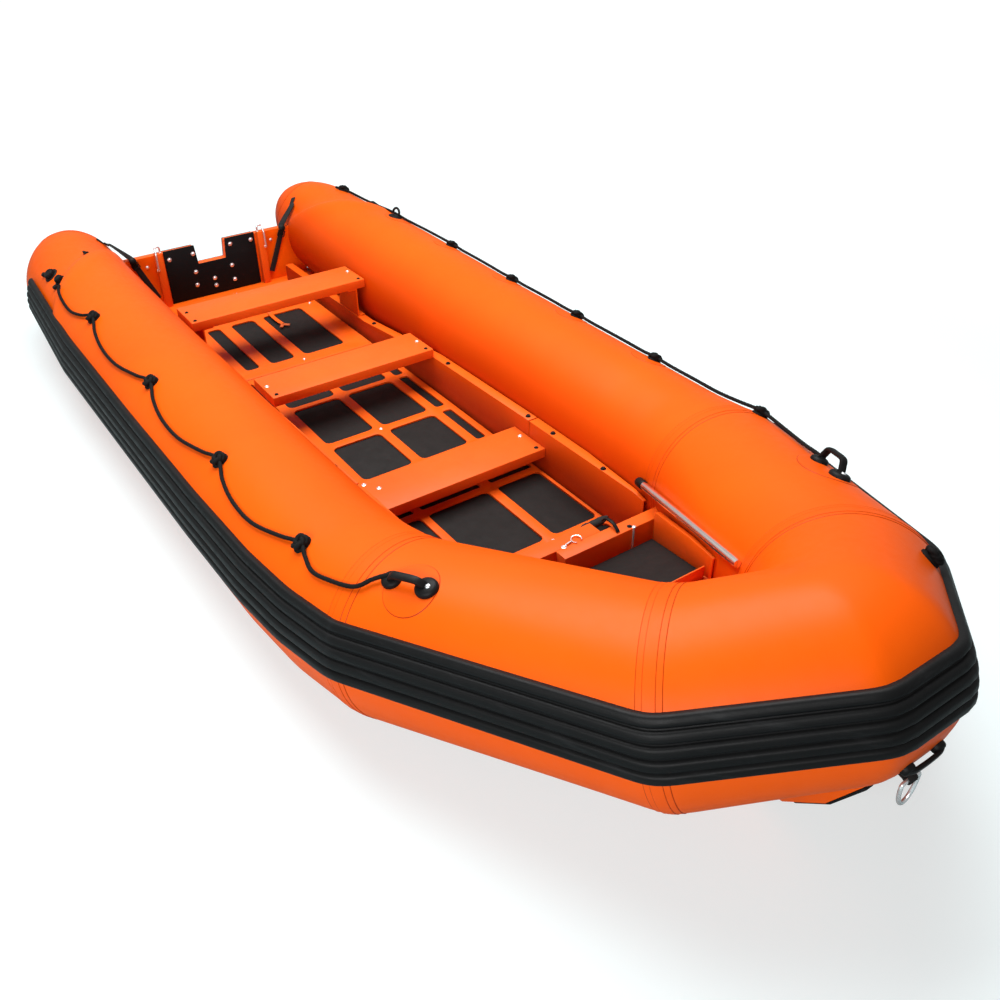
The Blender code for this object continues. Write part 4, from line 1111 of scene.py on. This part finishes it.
def buildFloorLatch():
    # splayed foot that locks the aft floor frame
    bm = bmesh.new()
    foot = [Vector((0.440 + 0.16 * t, 0.088 - 0.006 * math.sin(math.pi * t), 0.1165))
            for t in (0, 0.2, 0.4, 0.6, 0.8, 1.0)]
    addStrap(bm, foot, upward, 0.020, 0.005)
    for y in (0.022, -0.022):
        addStrap(bm, [foot[-1], foot[-1] + Vector((0.025, y, 0))], upward, 0.016, 0.005)
    addPiece("floorLatch", bm, "metal_paint", angle=40)
    buildBolts("floorScrews", "steel", [(x, y, hardware["screwZ"]) for x, y in hardware["screws"]], 0.8)


def deckZ(x):
    # the bow deck rises evenly
    return 0.230 + (x - 2.960) * 0.427


def buildBowPlate():
    # plate that closes the bow mat's fore end, and the mat's rolled lip
    x, z = hardware["plateX"], deckZ(hardware["plateX"])
    bm = bmesh.new()
    addBlock(bm, (x, -0.142, z - 0.004), (x + 0.005, 0.142, z + 0.042), 0.0015)
    addPiece("bowPlate", bm, "metal_paint", angle=35)
    bm = bmesh.new()
    lip = [Vector((x - 0.011, y, deckZ(x - 0.011) + 0.015 + 0.002 * math.sin(9 * y)))
           for y in np.linspace(-0.138, 0.138, 15)]
    addPipe(bm, lip, 0.0075, 12)
    addPiece("bowMatLip", bm, "floor_mat", angle=50)
    bm = bmesh.new()
    for y in (0.095, -0.095):
        addBolt(bm, (x - 0.0002, y, z + 0.028), (-1, 0, 0), 0.9)
    addPiece("bowPlateBolts", bm, "steel", angle=35)


def buildPole():
    # boat hook stowed along the port bow stringer
    start, end = (Vector(p) for p in hardware["pole"])
    bm = bmesh.new()
    addPipe(bm, [start.lerp(end, t) for t in (0.0, 0.3, 0.6, 0.97, 1.0)], [0.0125] * 4 + [0.0105], 24)
    cap = hardware["poleCap"]
    addPipe(bm, [start.lerp(end, t) for t, r in cap], [r for t, r in cap], 24, index=1)
    addPiece("boatHookPole", bm, "pole_metal", ["boat_hook_pole"], angle=40, extra=("black_plastic",))


for build in (buildCockpitBolts, buildBeamHardware, buildFloorLatch, buildBowPlate, buildPole):
    build()
print("cockpit hardware built")


# Bow handle and towing ring

bow = {"angle": -16.0, "half": 0.051, "pivot": (4.056, 0.0, 0.403), "drop": 0.078, "ringHalf": 0.030, "rod": 0.005,
       "lean": 0.012, "pad": ((0.0165, -0.005), (0.0165, 0.003), (0.0155, 0.008), (0.0120, 0.0115), (0.0050, 0.0125)),
       "bar": ((-1.22, 0.002), (-1.08, 0.0080), (-0.80, 0.0130), (-0.4, 0.0142), (0, 0.0145), (0.4, 0.0142),
               (0.80, 0.0130), (1.08, 0.0080), (1.22, 0.002))}
noseX, noseZ, noseRadius = (collar["line"][-1][i] for i in (0, 2, 3))
nose = Vector((noseX, 0, noseZ))


def nosePoint(height, y):
    out = Vector((math.cos(math.radians(bow["angle"])), 0, math.sin(math.radians(bow["angle"]))))
    return nose + out * (noseRadius + height) + Vector((0, y, 0))


def buildBowHandle():
    bm = bmesh.new()
    normal = (nosePoint(1.0, 0) - nosePoint(0.0, 0)).normalized()
    addStrap(bm, easeRoute([nosePoint(h, bow["half"] * u) for u, h in bow["bar"]], 4), normal, 0.020, 0.0105)
    for y in (-bow["half"], bow["half"]):
        addLathe(bm, bow["pad"], nosePoint(0.0, y), normal, Vector((0, 1, 0)), 24, stretch=1.1)
    addPiece("bowHandle", bm, "black_plastic", ["bow_handle"], angle=40)


def buildTowingRing():
    # D-shaped ring hanging from its straight top rod
    half, drop, lean = bow["ringHalf"], bow["drop"], bow["lean"]
    route = [Vector((0, y, 0)) for y in np.linspace(-half + 0.006, half - 0.006, 7)]
    route += [Vector((0, half - 0.0018, -0.002)), Vector((0, half, -0.007))]
    route += arcPoints(Vector((0, 0, -lean)), Vector((0, half, 0)), Vector((0, 0, lean - drop)), range(0, 181, 9))
    route += [Vector((0, -half, -0.007)), Vector((0, -half + 0.0018, -0.002))]
    bm = bmesh.new()
    addPipe(bm, [p + Vector(bow["pivot"]) for p in route], bow["rod"], 18, closed=True)
    addPiece("towingRing", bm, "steel", ["towing_ring"], body="towing_ring", angle=60)


def buildTowingTab():
    # webbing folded round the ring's rod and glued to the underside of the nose
    pivot, fold = Vector(bow["pivot"]), bow["rod"] + 0.0030
    reach, inward = (nose - pivot).length - noseRadius, (nose - pivot).normalized()
    down = Vector((inward.z, 0, -inward.x))
    steps = ((reach + 0.002, 0.022), (reach - 0.001, 0.013), (0.008, fold))
    route = [pivot + inward * deep + down * low for deep, low in steps]
    route += arcPoints(pivot, down * fold, -inward * fold, range(0, 181, 20))
    route += [pivot + inward * deep - down * low for deep, low in reversed(steps)]
    faces = [heading(route, i).cross(Vector((0, 1, 0))) for i in range(len(route))]
    bm = bmesh.new()
    addStrap(bm, route, faces, 0.027, 0.0026)
    addPiece("towingTab", bm, "webbing", ["towing_bracket"], angle=50)


buildBowHandle()
buildTowingRing()
buildTowingTab()
print("bow fittings built")


# Everything of the CAD that still shows keeps its own shape and takes a finish

slots = {part["node"]: part["material_slot"] for part in frame["record"]["subparts"]}
for name, item in frame["nodes"].items():
    if not item.hide_render:
        item.data.materials.clear()
        item.data.materials.append(mats.get(slots.get(name), mats["metal_paint"]))


# Floor and light

studio = {"world": 0.05, "mirrored": 0.42, "floor": (0.44, 0.54, 0.55), "floorSize": 60, "glow": 0.54, "farGlow": 1.0,
          "fadeFrom": 2.6, "fadeTo": 5.0, "lights": (
              ("overhead", 350.0, (-0.8, 0.1, 4.5), (0, 0, 0.3), (4.4, 3.2)),
              ("fill", 205.0, (3.4, -4.3, 2.6), (0.8, 0, 0.45), (4.0, 1.6)),
              ("back", 6.0, (-5.5, -0.6, 3.0), (-0.5, 0, 0.3), (4.5, 2.0)))}


def addLight(name, power, place, target, size):
    data = bpy.data.lights.new(name, "AREA")
    data.shape = "RECTANGLE"
    data.size, data.size_y = size
    data.energy = power
    item = newObject(name, data)
    item.location = place
    item.rotation_euler = (Vector(target) - Vector(place)).to_track_quat("-Z", "Y").to_euler()


def buildFloor():
    # glows white to the camera, more so farther off; from below it is clear, so that the hull's bottom shows
    material, tree, shader = newMaterial("studioFloor", studio["floor"], 0.9, gloss=0.1)
    seen = addNode(tree, "LightPath").outputs["Is Camera Ray"]
    away = addNode(tree, "VectorMath", {0: objectPlace(tree)}, operation="LENGTH").outputs["Value"]
    fade = {"Value": away, "From Min": studio["fadeFrom"], "From Max": studio["fadeTo"], "To Min": studio["glow"],
            "To Max": studio["farGlow"]}
    glow = addNode(tree, "MapRange", fade, interpolation_type="SMOOTHSTEP").outputs[0]
    shader.inputs["Emission Color"].default_value = (1, 1, 1, 1)
    tree.links.new(math2(tree, "MULTIPLY", seen, glow), shader.inputs["Emission Strength"])
    below = math2(tree, "MULTIPLY", seen, geometry(tree, "Backfacing"))
    clear = addNode(tree, "BsdfTransparent").outputs[0]
    choice = addNode(tree, "MixShader", {0: below})
    tree.links.new(shader.outputs[0], choice.inputs[1])
    tree.links.new(clear, choice.inputs[2])
    tree.links.new(choice.outputs[0], tree.nodes["Material Output"].inputs["Surface"])
    bm = bmesh.new()
    bmesh.ops.create_grid(bm, x_segments=4, y_segments=4, size=studio["floorSize"])
    mesh = bpy.data.meshes.new("studioFloor")
    bm.to_mesh(mesh)
    bm.free()
    mesh.materials.append(material)
    floor = newObject("studioFloor", mesh)


def buildWorld():
    # white to the camera, dim as a light, brighter in mirrors
    world = bpy.data.worlds.new("studioWorld")
    world.use_nodes = True
    tree, background = world.node_tree, world.node_tree.nodes["Background"].inputs
    seen = addNode(tree, "LightPath").outputs
    mirrored = spread(tree, seen["Is Glossy Ray"], studio["world"], studio["mirrored"])
    background["Color"].default_value = (1, 1, 1, 1)
    tree.links.new(math2(tree, "MAXIMUM", mirrored, seen["Is Camera Ray"]), background["Strength"])
    bpy.context.scene.world = world


buildFloor()
buildWorld()
for light in studio["lights"]:
    addLight(*light)
bpy.context.scene.view_settings.view_transform = "Standard"
bpy.context.scene.view_settings.look = "None"
bpy.context.scene.cycles.use_denoising = True
